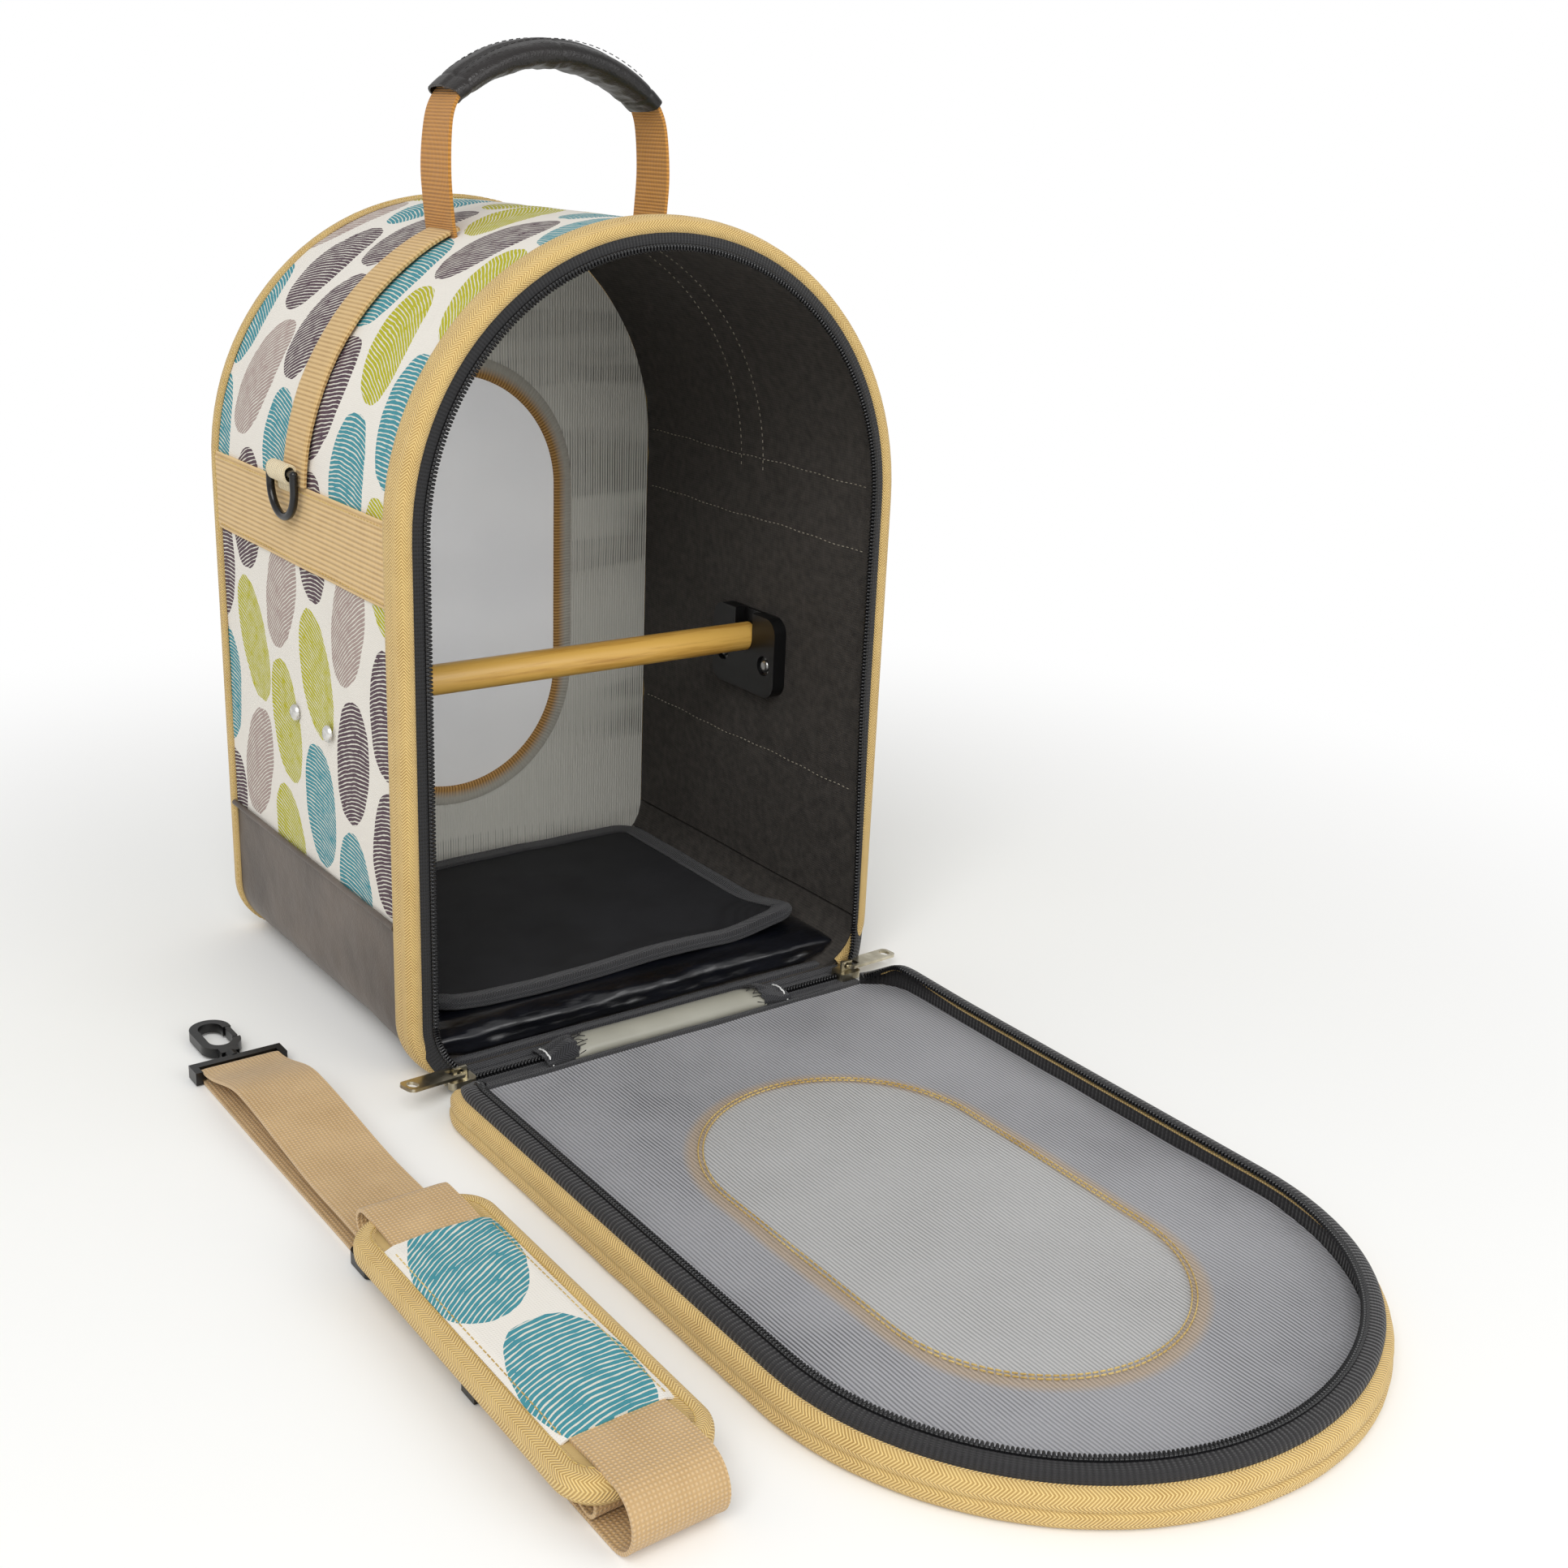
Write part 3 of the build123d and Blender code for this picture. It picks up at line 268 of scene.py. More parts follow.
def pebble_print(name, by="UV", ink_list=(LIME, TEAL, PLUM, TAUPE)):
    """Cotton canvas with a screen print of hatched pebbles: matte ink, fine light hatching, plain weave."""
    material, shader = start_material(name, 0.8)
    place, (along, across, _) = cloth_place(material, by)
    if by == "Object":
        along, across = across, along
    # each second row of pebbles is set half a step on
    row = calc(material, "DIVIDE", across, PEBBLE_ROW * MM)
    row_number = calc(material, "FLOOR", row)
    odd = calc(material, "MODULO", row_number, 2.0)
    step = calc(material, "MULTIPLY_ADD", odd, 0.5, calc(material, "DIVIDE", along, PEBBLE_STEP * MM))
    cell = add_node(material, "ShaderNodeCombineXYZ", {0: calc(material, "FLOOR", step), 1: row_number})
    chance = add_node(material, "ShaderNodeTexWhiteNoise", {"Vector": cell.outputs[0]}, noise_dimensions="3D")
    chance = chance.outputs["Value"]
    a_mid = calc(material, "SUBTRACT", calc(material, "FRACT", step), 0.5)
    b_mid = calc(material, "SUBTRACT", calc(material, "FRACT", row), 0.5)
    # each pebble leans a little its own way
    lean = calc(material, "SUBTRACT", chance, 0.5)
    b_lean = calc(material, "MULTIPLY_ADD", lean, a_mid, b_mid)
    a_part = calc(material, "POWER", calc(material, "DIVIDE", a_mid, 0.485), 2.0)
    b_size = calc(material, "ABSOLUTE", calc(material, "DIVIDE", b_lean, 0.475))
    around = calc(material, "ADD", a_part, calc(material, "POWER", b_size, 2.3))
    rough_edge = calc(material, "MULTIPLY_ADD", patches(material, place, 11.0), 0.22, around)
    inside = calc(material, "LESS_THAN", rough_edge, 1.02)
    # hatching: fine lines, bowed and broken, that lean with their pebble
    bowed = calc(material, "MULTIPLY_ADD", calc(material, "MULTIPLY", b_mid, b_mid), 0.014, along)
    hatch_at = calc(material, "MULTIPLY_ADD", across, calc(material, "MULTIPLY", lean, 1.6), bowed)
    wobble = calc(material, "MULTIPLY", patches(material, place, 16.0), 9.0)
    hatch = waves(material, hatch_at, 2.1, wobble)
    broken = calc(material, "MULTIPLY_ADD", patches(material, place, 6.0, 3.0), 0.9, hatch)
    line = calc(material, "GREATER_THAN", broken, 1.27)
    inks = add_node(material, "ShaderNodeValToRGB", {0: chance})
    ramp = inks.color_ramp
    ramp.interpolation = "CONSTANT"
    for position, ink in zip((0.0, 0.27, 0.55, 0.78), ink_list):
        stop = ramp.elements[0] if position == 0.0 else ramp.elements.new(position)
        stop.position, stop.color = position, srgb(ink)
    ramp.elements[-1].color = srgb(ink_list[-1])
    printed = mixed(material, line, inks.outputs[0], srgb("DAD8CC"))
    colour = mixed(material, inside, srgb("E6E1D8"), printed)
    weave = calc(material, "MULTIPLY", waves(material, along, 0.9), waves(material, across, 0.9))
    return surface(material, shader, colour, weave, 0.12)


def leatherette(name, dark, light, grain_mm, roughness):
    """Coated cloth with a pebbled grain: soft highlights broken up by the grain."""
    material, shader = start_material(name, roughness)
    place, _ = cloth_place(material, "Object")
    grain = {"Vector": place, "Scale": 1000.0 / grain_mm}
    cells = add_node(material, "ShaderNodeTexVoronoi", grain, feature="SMOOTH_F1").outputs["Distance"]
    colour = two_tones(material, patches(material, place, 60.0, 4.0), dark, light, (0.35, 0.65))
    height = calc(material, "MULTIPLY_ADD", patches(material, place, 16.0), 6.0, cells)
    return surface(material, shader, colour, height, 0.15)


def plain_cloth(name, dark, light, pitch_mm, roughness=0.85, patch_mm=40.0):
    """Plain-woven cloth: matte, with a fine grid of threads and faint uneven patches."""
    material, shader = start_material(name, roughness)
    place, lengths = cloth_place(material, "Object")
    warp = waves(material, calc(material, "ADD", lengths[0], lengths[1]), pitch_mm)
    weave = calc(material, "MULTIPLY", warp, waves(material, lengths[2], pitch_mm))
    share = calc(material, "MULTIPLY_ADD", weave, 0.25, patches(material, place, patch_mm, 5.0, 0.6))
    colour = two_tones(material, share, dark, light, (0.3, 0.9))
    return surface(material, shader, colour, weave, 0.15)


def stadium_gap(material, lengths, middle, half_w, half_l):
    """How far a place lies outside a stadium-shaped outline, in metres, less inside it."""
    up = calc(material, "ABSOLUTE", calc(material, "ADD", lengths[1], -middle))
    past_end = calc(material, "MAXIMUM", calc(material, "SUBTRACT", up, half_l - half_w), 0.0)
    spot = add_node(material, "ShaderNodeCombineXYZ", {0: lengths[0], 1: past_end})
    reach = add_node(material, "ShaderNodeVectorMath", {0: spot.outputs[0]}, operation="LENGTH")
    return calc(material, "SUBTRACT", reach.outputs["Value"], half_w)


def lined_mesh(name, dark, light, pitch_mm, opacity, sway_by, roughness=0.5, window=None, folds=0.0):
    """Warp-knit mesh: fine bright lines on darker gaps, any folds as painted shade; a window and its tape show
    through it, helped by the tape's colour painted on and by painted light that makes the mesh paler over the film.
    """
    material, shader = start_material(name, roughness)
    place, lengths = cloth_place(material, "Object")
    sway = patches(material, place, 70.0)
    line = waves(material, lengths[0], pitch_mm, calc(material, "MULTIPLY", sway, sway_by))
    # broad lighter and darker patches of the mesh's tone
    broad_patches = patches(material, place, 90.0, 6.0, 0.6)
    share = calc(material, "MULTIPLY_ADD", broad_patches, 1.5, line)
    if folds:
        # painted shade: soft level folds painted as darker bands, and single dark threads that run up
        level = patches(material, drawn_out(material, place, 0.12), 26.0, 1.0)
        shade = calc(material, "MULTIPLY_ADD", fitted(material, level, 0.4, 0.55), 1.4 * folds, share)
        thread = calc(material, "POWER", waves(material, lengths[0], 5.1, sway), 3.0)
        faint = calc(material, "MULTIPLY", thread, broad_patches)
        share = calc(material, "MULTIPLY_ADD", faint, -0.6 * folds, shade)
    colour = two_tones(material, share, dark, light, (0.5, 1.9 + 0.6 * folds))
    if window:
        gap = stadium_gap(material, lengths, *window)
        past_film = fitted(material, gap, -0.001, 0.001)
        tape = calc(material, "MULTIPLY", past_film, fitted(material, gap, 0.010, 0.006, 0.55))
        colour = mixed(material, tape, colour, srgb("C9AC84"))
        # painted light: over the film the mesh is painted paler, standing in for the lit film showing through it
        colour = mixed(material, fitted(material, gap, 0.001, -0.001, 0.45), colour, srgb("DCDBD6"))
    alpha = calc(material, "MULTIPLY_ADD", line, opacity[1] - opacity[0], opacity[0])
    material.node_tree.links.new(alpha, shader.inputs["Alpha"])
    return surface(material, shader, colour, line, 0.25, sheen=0.15)


def bordered_seam(name, dark, light, field, border_mm):
    """Sewn edge of a window: a coloured border beside the film that fades into the tone of the mesh."""
    material, shader = start_material(name, 0.85)
    _, (along, across, _) = cloth_place(material)
    rib = waves(material, along, 1.8)
    border = two_tones(material, rib, dark, light, (0.1, 0.9))
    fade = fitted(material, across, border_mm * MM, (border_mm + 3.0) * MM)
    return surface(material, shader, mixed(material, fade, border, srgb(field)), rib, 0.3)


def moulded_plastic(name, colour, roughness):
    """Moulded plastic: smooth, with very slight unevenness from the mould."""
    material, shader = start_material(name, roughness, colour=colour)
    place, _ = cloth_place(material, "Object")
    return relief(material, shader, patches(material, place, 3.0), 0.03)


def plated_metal(name, dark, light, roughness):
    """Plated and tumbled metal: bright, with cloudy marks and small scratches."""
    material, shader = start_material(name, roughness, metallic=1.0)
    place, _ = cloth_place(material, "Object")
    colour = two_tones(material, patches(material, place, 8.0, 4.0), dark, light, (0.3, 0.7))
    return surface(material, shader, colour, patches(material, place, 0.8, 4.0), 0.03)


def varnished_dowel(name):
    """Turned softwood dowel, clear varnished: long orange-yellow grain along X."""
    material, shader = start_material(name, 0.38)
    drawn = drawn_out(material, cloth_place(material, "Object")[0], 0.06)
    grain = patches(material, drawn, 2.2, 5.0, 0.65)
    share = calc(material, "MULTIPLY_ADD", patches(material, drawn, 9.0), 0.9, grain)
    colour = two_tones(material, share, "B67B22", "E3B45A", (0.6, 1.25))
    return surface(material, shader, colour, grain, 0.06, coat=0.3)


def satin(name, dark, light):
    """Satin over foam: dark, with long soft painted highlights along its folds."""
    material, shader = start_material(name, 0.28)
    drawn = drawn_out(material, cloth_place(material, "Object")[0], 0.35)
    folds = patches(material, drawn, 9.0, 3.0)
    shader.inputs["Coat Roughness"].default_value = 0.22
    # painted highlights: the fold pattern lightens the colour along the folds
    return surface(material, shader, two_tones(material, folds, dark, light, (0.3, 0.75)), folds, 1.2, coat=0.5)


def film(name, dark, light, roughness, patch_mm, depth_mm, opacity=1.0):
    """Milky flexible film: smooth and pale, with wide soft creases painted lighter as painted highlights."""
    material, shader = start_material(name, roughness)
    crease = patches(material, cloth_place(material, "Object")[0], patch_mm)
    shader.inputs["Alpha"].default_value = opacity
    # painted highlights: the crease pattern lightens the colour
    return surface(material, shader, two_tones(material, crease, dark, light, (0.3, 0.7)), crease, depth_mm, coat=0.3)


bpy.context.scene.view_settings.view_transform = "Standard"
make_camera()
studio()

canvas = pebble_print("printed_cotton_canvas")
canvas_flat = pebble_print("printed_cotton_panel", "Object")
canvas_pad = pebble_print("printed_cotton_pad_panel", ink_list=(LIME, PLUM, TEAL, TEAL))
base_hide = leatherette("pebbled_leatherette", "4F463F", "6A5F56", 1.1, 0.46)
grip_hide = leatherette("smooth_black_leatherette", "0C0A0A", "1D1918", 0.9, 0.34)
gold_twill = herringbone_tape("gold_cotton_twill", "A47B38", "EACB86")
mat_twill = herringbone_tape("black_binding_twill", "040405", "333337", 0.75)
pale_tape = herringbone_tape("pale_grey_tape", "AFA48C", "E4DCC8", 0.8)
tan_tape = herringbone_tape("tan_window_tape", "9A7A4E", "D9BB8B", 0.8)
back_seam = bordered_seam("gold_window_seam", "9A6F38", "D2A362", "C0BCB0", 4.0)
band_weave = ribbed_webbing("ribbed_gold_webbing", "A37A3C", "E0BE83", 2.6)
strap_weave = ribbed_webbing("cross_ribbed_gold_webbing", "A37A3C", "DDBA7E", 2.2, "across")
riser_weave = ribbed_webbing("caramel_cotton_webbing", "94601D", "C98B38", 1.6, "across")
loop_weave = ribbed_webbing("cream_cotton_webbing", "B49A6B", "EFE0BC", 2.0, "across")
zip_cloth = ribbed_webbing("black_zip_tape", "050506", "19191C", 1.8, "across")
gusset_cloth = ribbed_webbing("black_gusset_twill", "050506", "1F1D1F", 2.4, "across", 0.7)
shoulder_weave = basket_weave("basket_woven_cotton_webbing", "AD8A58", "D5B586", 1.7)
lining = plain_cloth("grey_brown_lining_cloth", "2B2825", "4E4944", 1.3, 0.8, 5.0)
tray_cloth = plain_cloth("black_tray_cloth", "0B0B0E", "1D1D22", 1.2, 0.8)
door_backing = plain_cloth("grey_door_backing", "5E5E63", "85858A", 1.0, 0.8)
pad_cloth = plain_cloth("beige_pad_cloth", "A88C55", "D6BC84", 1.0)
coil_thread = plain_cloth("grey_zip_thread", "55555A", "9A9AA0", 1.0)
gold_thread = plain_cloth("gold_polyester_thread", "B08B3C", "EBD38C", 1.0, 0.5)
pale_thread = plain_cloth("white_polyester_thread", "DCDCDA", "F8F8F6", 1.0, 0.6)
dull_thread = plain_cloth("dull_lining_thread", "8C8474", "C9C0AE", 1.0, 0.7)
dark_thread = plain_cloth("dark_polyester_thread", "121113", "3A3838", 1.0)
back_knit = lined_mesh("grey_back_mesh", "605E58", "DEDCD2", 1.7, (0.97, 1.0), 3.0, folds=0.5)
door_window = [size * MM for size in (DOOR_Y0 - DOOR_WINDOW_H, WINDOW_HALF, WINDOW_RUN + WINDOW_HALF)]
door_knit = lined_mesh("grey_door_mesh", "36373C", "B4B4B8", 1.8, (0.45, 0.9), 9.0, 0.4, door_window)
back_film = film("milky_window_film", "E4E4E6", "F3F2F0", 0.5, 120.0, 0.3, 0.55)
door_film = film("milky_door_film", "C4C3C0", "DEDDD9", 0.25, 36.0, 0.9)
sleeve_coat = film("satin_coated_sleeve", "9B998C", "A9A79A", 0.4, 30.0, 0.2)
cushion_satin = satin("black_satin", "050609", "10121A")
coil_nylon = moulded_plastic("black_nylon_coil", "111113", 0.26)
black_plastic = moulded_plastic("black_acetal", "070708", 0.3)
bracket_plastic = moulded_plastic("black_nylon", "0A0A0B", 0.4)
ring_plastic = moulded_plastic("glossy_black_ring", "0D0D0F", 0.22)
slider_metal = plated_metal("plated_zinc", "A89F86", "DCD5C0", 0.28)
steel = plated_metal("nickel_plated_steel", "9A9A98", "D6D6D4", 0.3)
cap_metal = plated_metal("white_enamelled_steel", "CFCDC8", "F0EFEC", 0.35)
wood = varnished_dowel("varnished_dowel")

# ---------------------------------------------------------------- shaping tools


def lone(name):
    """The object just made, named, with nothing else selected."""
    piece = bpy.context.object
    for other in bpy.context.selected_objects:
        if other != piece:
            other.select_set(False)
    piece.name = piece.data.name = name
    return piece


def pick_only(*pieces):
    bpy.ops.object.select_all(action="DESELECT")
    for piece in pieces:
        piece.select_set(True)
    bpy.context.view_layer.objects.active = pieces[0]


def join_all(pieces, name):
    pick_only(*pieces)
    bpy.ops.object.join()
    return lone(name)


def apply_all(piece):
    """Applies every modifier of the piece, in order."""
    pick_only(piece)
    for modifier in list(piece.modifiers):
        bpy.ops.object.modifier_apply(modifier=modifier.name)


def edit_all(piece, change):
    """Makes one change to the whole mesh in edit mode."""
    pick_only(piece)
    bpy.ops.object.mode_set(mode="EDIT")
    bpy.ops.mesh.select_all(action="SELECT")
    change()
    bpy.ops.object.mode_set(mode="OBJECT")


def face_out(piece):
    edit_all(piece, lambda: bpy.ops.mesh.normals_make_consistent(inside=False))


def close_ring(piece):
    """Joins the two ends of a strip that runs once round."""
    edit_all(piece, lambda: bpy.ops.mesh.remove_doubles(threshold=0.00002))
    face_out(piece)


def move_points(piece, rule):
    """Moves each point of the piece as the rule says; the rule takes and gives millimetres."""
    for vertex in piece.data.vertices:
        x, y, z = vertex.co / MM
        vertex.co = Vector(rule(x, y, z)) * MM


def flat_strip(name, length, width, along, across):
    """Flat strip of cloth from x 0 to the length and y 0 to the width, with its UV map in metres."""
    bpy.ops.object.select_all(action="DESELECT")
    bpy.ops.mesh.primitive_grid_add(x_subdivisions=along, y_subdivisions=across, size=1, location=(0.5, 0.5, 0))
    piece = lone(name)
    bpy.ops.object.transform_apply(location=True, rotation=True, scale=True)
    move_points(piece, lambda x, y, z: (x * MM * length, y * MM * width, 0))
    for spot in piece.data.uv_layers.active.data:
        spot.uv = (spot.uv[0] * length * MM, spot.uv[1] * width * MM)
    return piece


def along_line(points, share):
    """Point at that share of the way along a run of points, smoothed between them."""
    at = share * (len(points) - 1)
    i = min(int(at), len(points) - 2)
    t = at - i
    p0, p1, p2, p3 = (Vector(points[min(max(k, 0), len(points) - 1)]) for k in (i - 1, i, i + 1, i + 2))
    bend = (2 * p0 - 5 * p1 + 4 * p2 - p3) * t * t + (3 * p1 - p0 - 3 * p2 + p3) * t**3
    return 0.5 * (2 * p1 + (p2 - p0) * t + bend)


def fold_strip(piece, width, section):
    """Folds a flat strip to a cross-section, given as (outwards, forwards) points."""
    move_points(piece, lambda x, y, z: (x, *along_line(section, min(max(y / width, 0.0), 1.0))))


def thicken(piece, thickness, inwards=True):
    """Gives a cloth its thickness, inwards or outwards of its face."""
    solid = piece.modifiers.new("thickness", "SOLIDIFY")
    solid.thickness = thickness * MM
    solid.offset = -1 if inwards else 1
    solid.use_even_offset = False
    apply_all(piece)


def wrap(piece, path):
    """Bends a straight piece along a path: its length follows the path, its y is outwards."""
    bend = piece.modifiers.new("bend", "CURVE")
    bend.object = path
    bend.deform_axis = "POS_X"
    apply_all(piece)


def stand(piece):
    """Turns a piece laid out flat so that it stands upright, with its forward side facing -Y."""
    piece.data.transform(Matrix.Translation((0, FRONT_Y * MM, 0)) @ Matrix.Rotation(math.pi / 2, 4, "X"))
    return piece


def lay_on_door(piece):
    """Lays a piece that was laid out flat onto the open door."""
    piece.data.transform(Matrix.Translation((0, DOOR_Y0 * MM, 0)) @ Matrix.Scale(-1, 4, (0, 1, 0)))
    piece.data.flip_normals()
    return piece


def dress(piece, material, body="carrier", stands_for=(), angle=40):
    """Gives a finished piece its material and smooth shading, ties it to its body and hides the frame nodes it stands
    for.
    """
    piece.data.materials.clear()
    piece.data.materials.append(material)
    pick_only(piece)
    bpy.ops.object.shade_smooth_by_angle(angle=math.radians(angle))
    if body:
        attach(piece, body)
    if stands_for:
        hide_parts(*stands_for)


def paint(material, *nodes):
    """Gives frame nodes their material."""
    for node in nodes:
        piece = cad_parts[node]
        piece.data.materials.clear()
        piece.data.materials.append(material)


def bezier_path(name, points):
    """Flat path from points that each give x, y and the tangent with its reach back and ahead."""
    bpy.ops.object.select_all(action="DESELECT")
    bpy.ops.curve.primitive_bezier_curve_add()
    path = lone(name)
    path.data.dimensions = "2D"
    path.data.resolution_u = 24
    spline = path.data.splines[0]
    spline.bezier_points.add(len(points) - 2)
    for knot, (x, y, tx, ty, back, ahead) in zip(spline.bezier_points, points):
        knot.handle_left_type = knot.handle_right_type = "FREE"
        knot.co = (x * MM, y * MM, 0)
        knot.handle_left = ((x - tx * back) * MM, (y - ty * back) * MM, 0)
        knot.handle_right = ((x + tx * ahead) * MM, (y + ty * ahead) * MM, 0)
    return path


# the reach of a handle that makes a quarter circle, as a share of its radius
QUARTER = 4 / 3 * math.tan(math.pi / 8)
arch_path = bezier_path(
    "arch_path",
    [
        (CORNER - HALF_W, 0, -1, 0, 0, CORNER * QUARTER),
        (-HALF_W, CORNER, 0, 1, CORNER * QUARTER, WALL_RUN / 3),
        (-HALF_W, SPRING, 0, 1, WALL_RUN / 3, HALF_W * QUARTER),
        (0, SPRING + HALF_W, 1, 0, HALF_W * QUARTER, HALF_W * QUARTER),
        (HALF_W, SPRING, 0, -1, HALF_W * QUARTER, WALL_RUN / 3),
        (HALF_W, CORNER, 0, -1, WALL_RUN / 3, CORNER * QUARTER),
        (HALF_W - CORNER, 0, -1, 0, CORNER * QUARTER, 0),
    ],
)
base_path = bezier_path(
    "base_path",
    [
        (HALF_W, SKIRT_TOP, 0, -1, 0, 16),
        (HALF_W, CORNER, 0, -1, 16, CORNER * QUARTER),
        (HALF_W - CORNER, 0, -1, 0, CORNER * QUARTER, 70),
        (CORNER - HALF_W, 0, -1, 0, 70, CORNER * QUARTER),
        (-HALF_W, CORNER, 0, 1, CORNER * QUARTER, 16),
        (-HALF_W, SKIRT_TOP, 0, 1, 16, 0),
    ],
)


def row_of(name, size, pitch, start, end, out=0.0, forward=0.0, round_mm=0.12):
    """Row of small rounded blocks along x, each with that size, such as stitches or coil teeth."""
    bpy.ops.object.select_all(action="DESELECT")
    bpy.ops.mesh.primitive_cube_add(size=1, location=(0, 0, 0))
    piece = lone(name)
    move_points(piece, lambda x, y, z: (x * size[0] * MM, y * size[1] * MM, z * size[2] * MM))
    edge = piece.modifiers.new("round", "BEVEL")
    edge.width = round_mm * MM
    edge.segments = 1
    repeat = piece.modifiers.new("row", "ARRAY")
    repeat.use_relative_offset = False
    repeat.use_constant_offset = True
    repeat.constant_offset_displace = (pitch * MM, 0, 0)
    repeat.count = max(2, int((end - start) / pitch))
    apply_all(piece)
    move_points(piece, lambda x, y, z: (x + start + pitch / 2, y + out, z + forward))
    return piece


def arch_row(*size_and_place):
    """Row of stitches that follows the arch."""
    piece = row_of(*size_and_place)
    wrap(piece, arch_path)
    return piece


def half_width(height, inset):
    """Half the arch's width at a height, drawn in by the inset."""
    half, corner = HALF_W - inset, CORNER - inset
    if height < inset + corner:
        return half - corner + math.sqrt(max(corner**2 - (inset + corner - height) ** 2, 0.0))
    if height > SPRING:
        return math.sqrt(max(half * half - (height - SPRING) ** 2, 0.01))
    return half


def rumple(x, y, size_mm, seed=0.0):
    """Soft random height between about -1 and 1 at a place on a cloth."""
    return noise.noise(Vector((x / size_mm, y / size_mm, seed)))


def ease(value, start, end):
    """Smooth step from 0 at the start to 1 at the end."""
    share = min(max((value - start) / (end - start), 0.0), 1.0)
    return share * share * (3 - 2 * share)


def bell(value, middle, reach):
    """Soft bump that is 1 at the middle."""
    return math.exp(-(((value - middle) / reach) ** 2))


def set_in(piece, thickness, place=stand, path=None, turn_out=False):
    """Thickens a piece laid out flat, bends it along the path if there is one, and puts it in its place."""
    thicken(piece, thickness)
    if path:
        wrap(piece, path)
    place(piece)
    if turn_out:
        face_out(piece)
    return piece


# ---------------------------------------------------------------- body: printed cover, leatherette base and lining

WALL_START = CORNER_RUN + SKIRT_TOP + 0.2 - CORNER
cover = flat_strip("canvas_wrap", ARCH_RUN - 2 * WALL_START, BODY_D, 200, 56)
move_points(cover, lambda x, y, z: (x + WALL_START, 0.7 * rumple(x, y, 55) + 0.3 * rumple(x, y, 18, 4), -y))
dress(set_in(cover, 1.2, path=arch_path), canvas, stands_for=["canvas_cover"])

skirt = flat_strip("leatherette_wrap", SKIRT_RUN, BODY_D, 150, 60)


def skirt_rule(x, y, z):
    hem = 0.4 * ease(min(x, SKIRT_RUN - x), 8, 0)
    return (x, rumple(x, y, 60, 2) + 0.45 * rumple(x, y, 17, 3) - hem, -y)


move_points(skirt, skirt_rule)
set_in(skirt, 1.3, path=base_path)
# the underside stays flat on the ground
move_points(skirt, lambda x, y, z: (x, y, max(z, 0.2)))
dress(skirt, base_hide, stands_for=["base_cover"])
paint(base_hide, "base_piping")

LINING_START, LINING_D = CORNER_RUN + 1.0, 221.0
LINING_SEAMS = [LINING_START + up for up in (74, 222, 256)]
LINING_FACE = 130.9
inner_cloth = flat_strip("wall_lining", ARCH_RUN - 2 * LINING_START, LINING_D, 220, 60)


def lining_rule(x, y, z):
    along = x + LINING_START
    off = min(abs(along - line) for seam in LINING_SEAMS for line in (seam, ARCH_RUN - seam))
    bow = 0.9 * rumple(along, y, 70, 9) + 0.35 * rumple(along, y, 22, 5)
    return (along, -4.6 + bow * 0.8 + 0.9 * max(0.0, 1 - off / 7), -y - 0.3)


move_points(inner_cloth, lining_rule)
thicken(inner_cloth, 1.6, inwards=False)
wrap(inner_cloth, arch_path)
dress(stand(inner_cloth), lining, stands_for=["wall_board"])
paint(lining, "base_board")

for side, hand in SIDES:
    for level, height in (("low", 103), ("mid", 235), ("high", 269)):
        row = row_of(f"{hand}_{level}_wall_stitches", (1.7, 0.45, 0.4), 3.9, 0, 208)

        def wall_seam_rule(x, y, z):
            drift = 0.5 * math.sin(x / 17) + 0.25 * math.sin(x / 5)
            return (side * (LINING_FACE + z), BACK_Y - 8 - x, height + drift + y)

        move_points(row, wall_seam_rule)
        face_out(row)
        dress(row, dull_thread)

# ---------------------------------------------------------------- body: bindings and zip

EDGE_INSET = 15.7
FRONT_SECTION = [
    (0.2, -15.2), (1.2, -14.2), (2.1, -10.5), (2.3, -6.0), (2.0, -1.8),
    (0.9, 1.4), (-1.0, 2.2), (-3.0, 1.6), (-3.6, 0.4),
]
BACK_SECTION = [
    (0.2, -216.4), (1.3, -217.2), (2.0, -219.6), (1.7, -223.0), (0.4, -225.2), (-1.8, -225.9), (-3.8, -225.0)
]
for end, width, section, steps, across, out, forward in (
    ("front", 30, FRONT_SECTION, 330, 16, 1.75, -13.0),
    ("back", 20, BACK_SECTION, 300, 10, 1.7, -218.0),
):
    edge = flat_strip(f"{end}_edge_binding", ARCH_RUN - 2 * EDGE_INSET, width, steps, across)
    fold_strip(edge, width, section)
    move_points(edge, lambda x, y, z: (x + EDGE_INSET, y, z))
    dress(set_in(edge, 1.1, path=arch_path), gold_twill, stands_for=[f"{end}_binding"])
    place = (EDGE_INSET, ARCH_RUN - EDGE_INSET, out, forward)
    row = arch_row(f"{end}_binding_stitches", (2.3, 0.5, 0.55), 3.7, *place, 0.15)
    dress(stand(row), gold_thread)

TOOTH_PITCH = 1.9


def body_zip_rule(x, y, z):
    """The zip turns towards its slider at both feet of the arch and stands off a little on the far side."""
    curl = ease(min(x, ARCH_RUN - x), 44, 8)
    return (x, y + 4.5 * curl + 4.0 * ease(x, 800, 940), z + 8.0 * curl)


def zip_strip(name, width, section, rule, inset, steps, across, place):
    """Tape of one half of the zip, from one foot of the arch to the other."""
    piece = flat_strip(name, ARCH_RUN - 2 * inset, width, steps, across)
    fold_strip(piece, width, section)
    move_points(piece, lambda x, y, z: rule(x + inset, y, z))
    return set_in(piece, 0.9, place, arch_path)


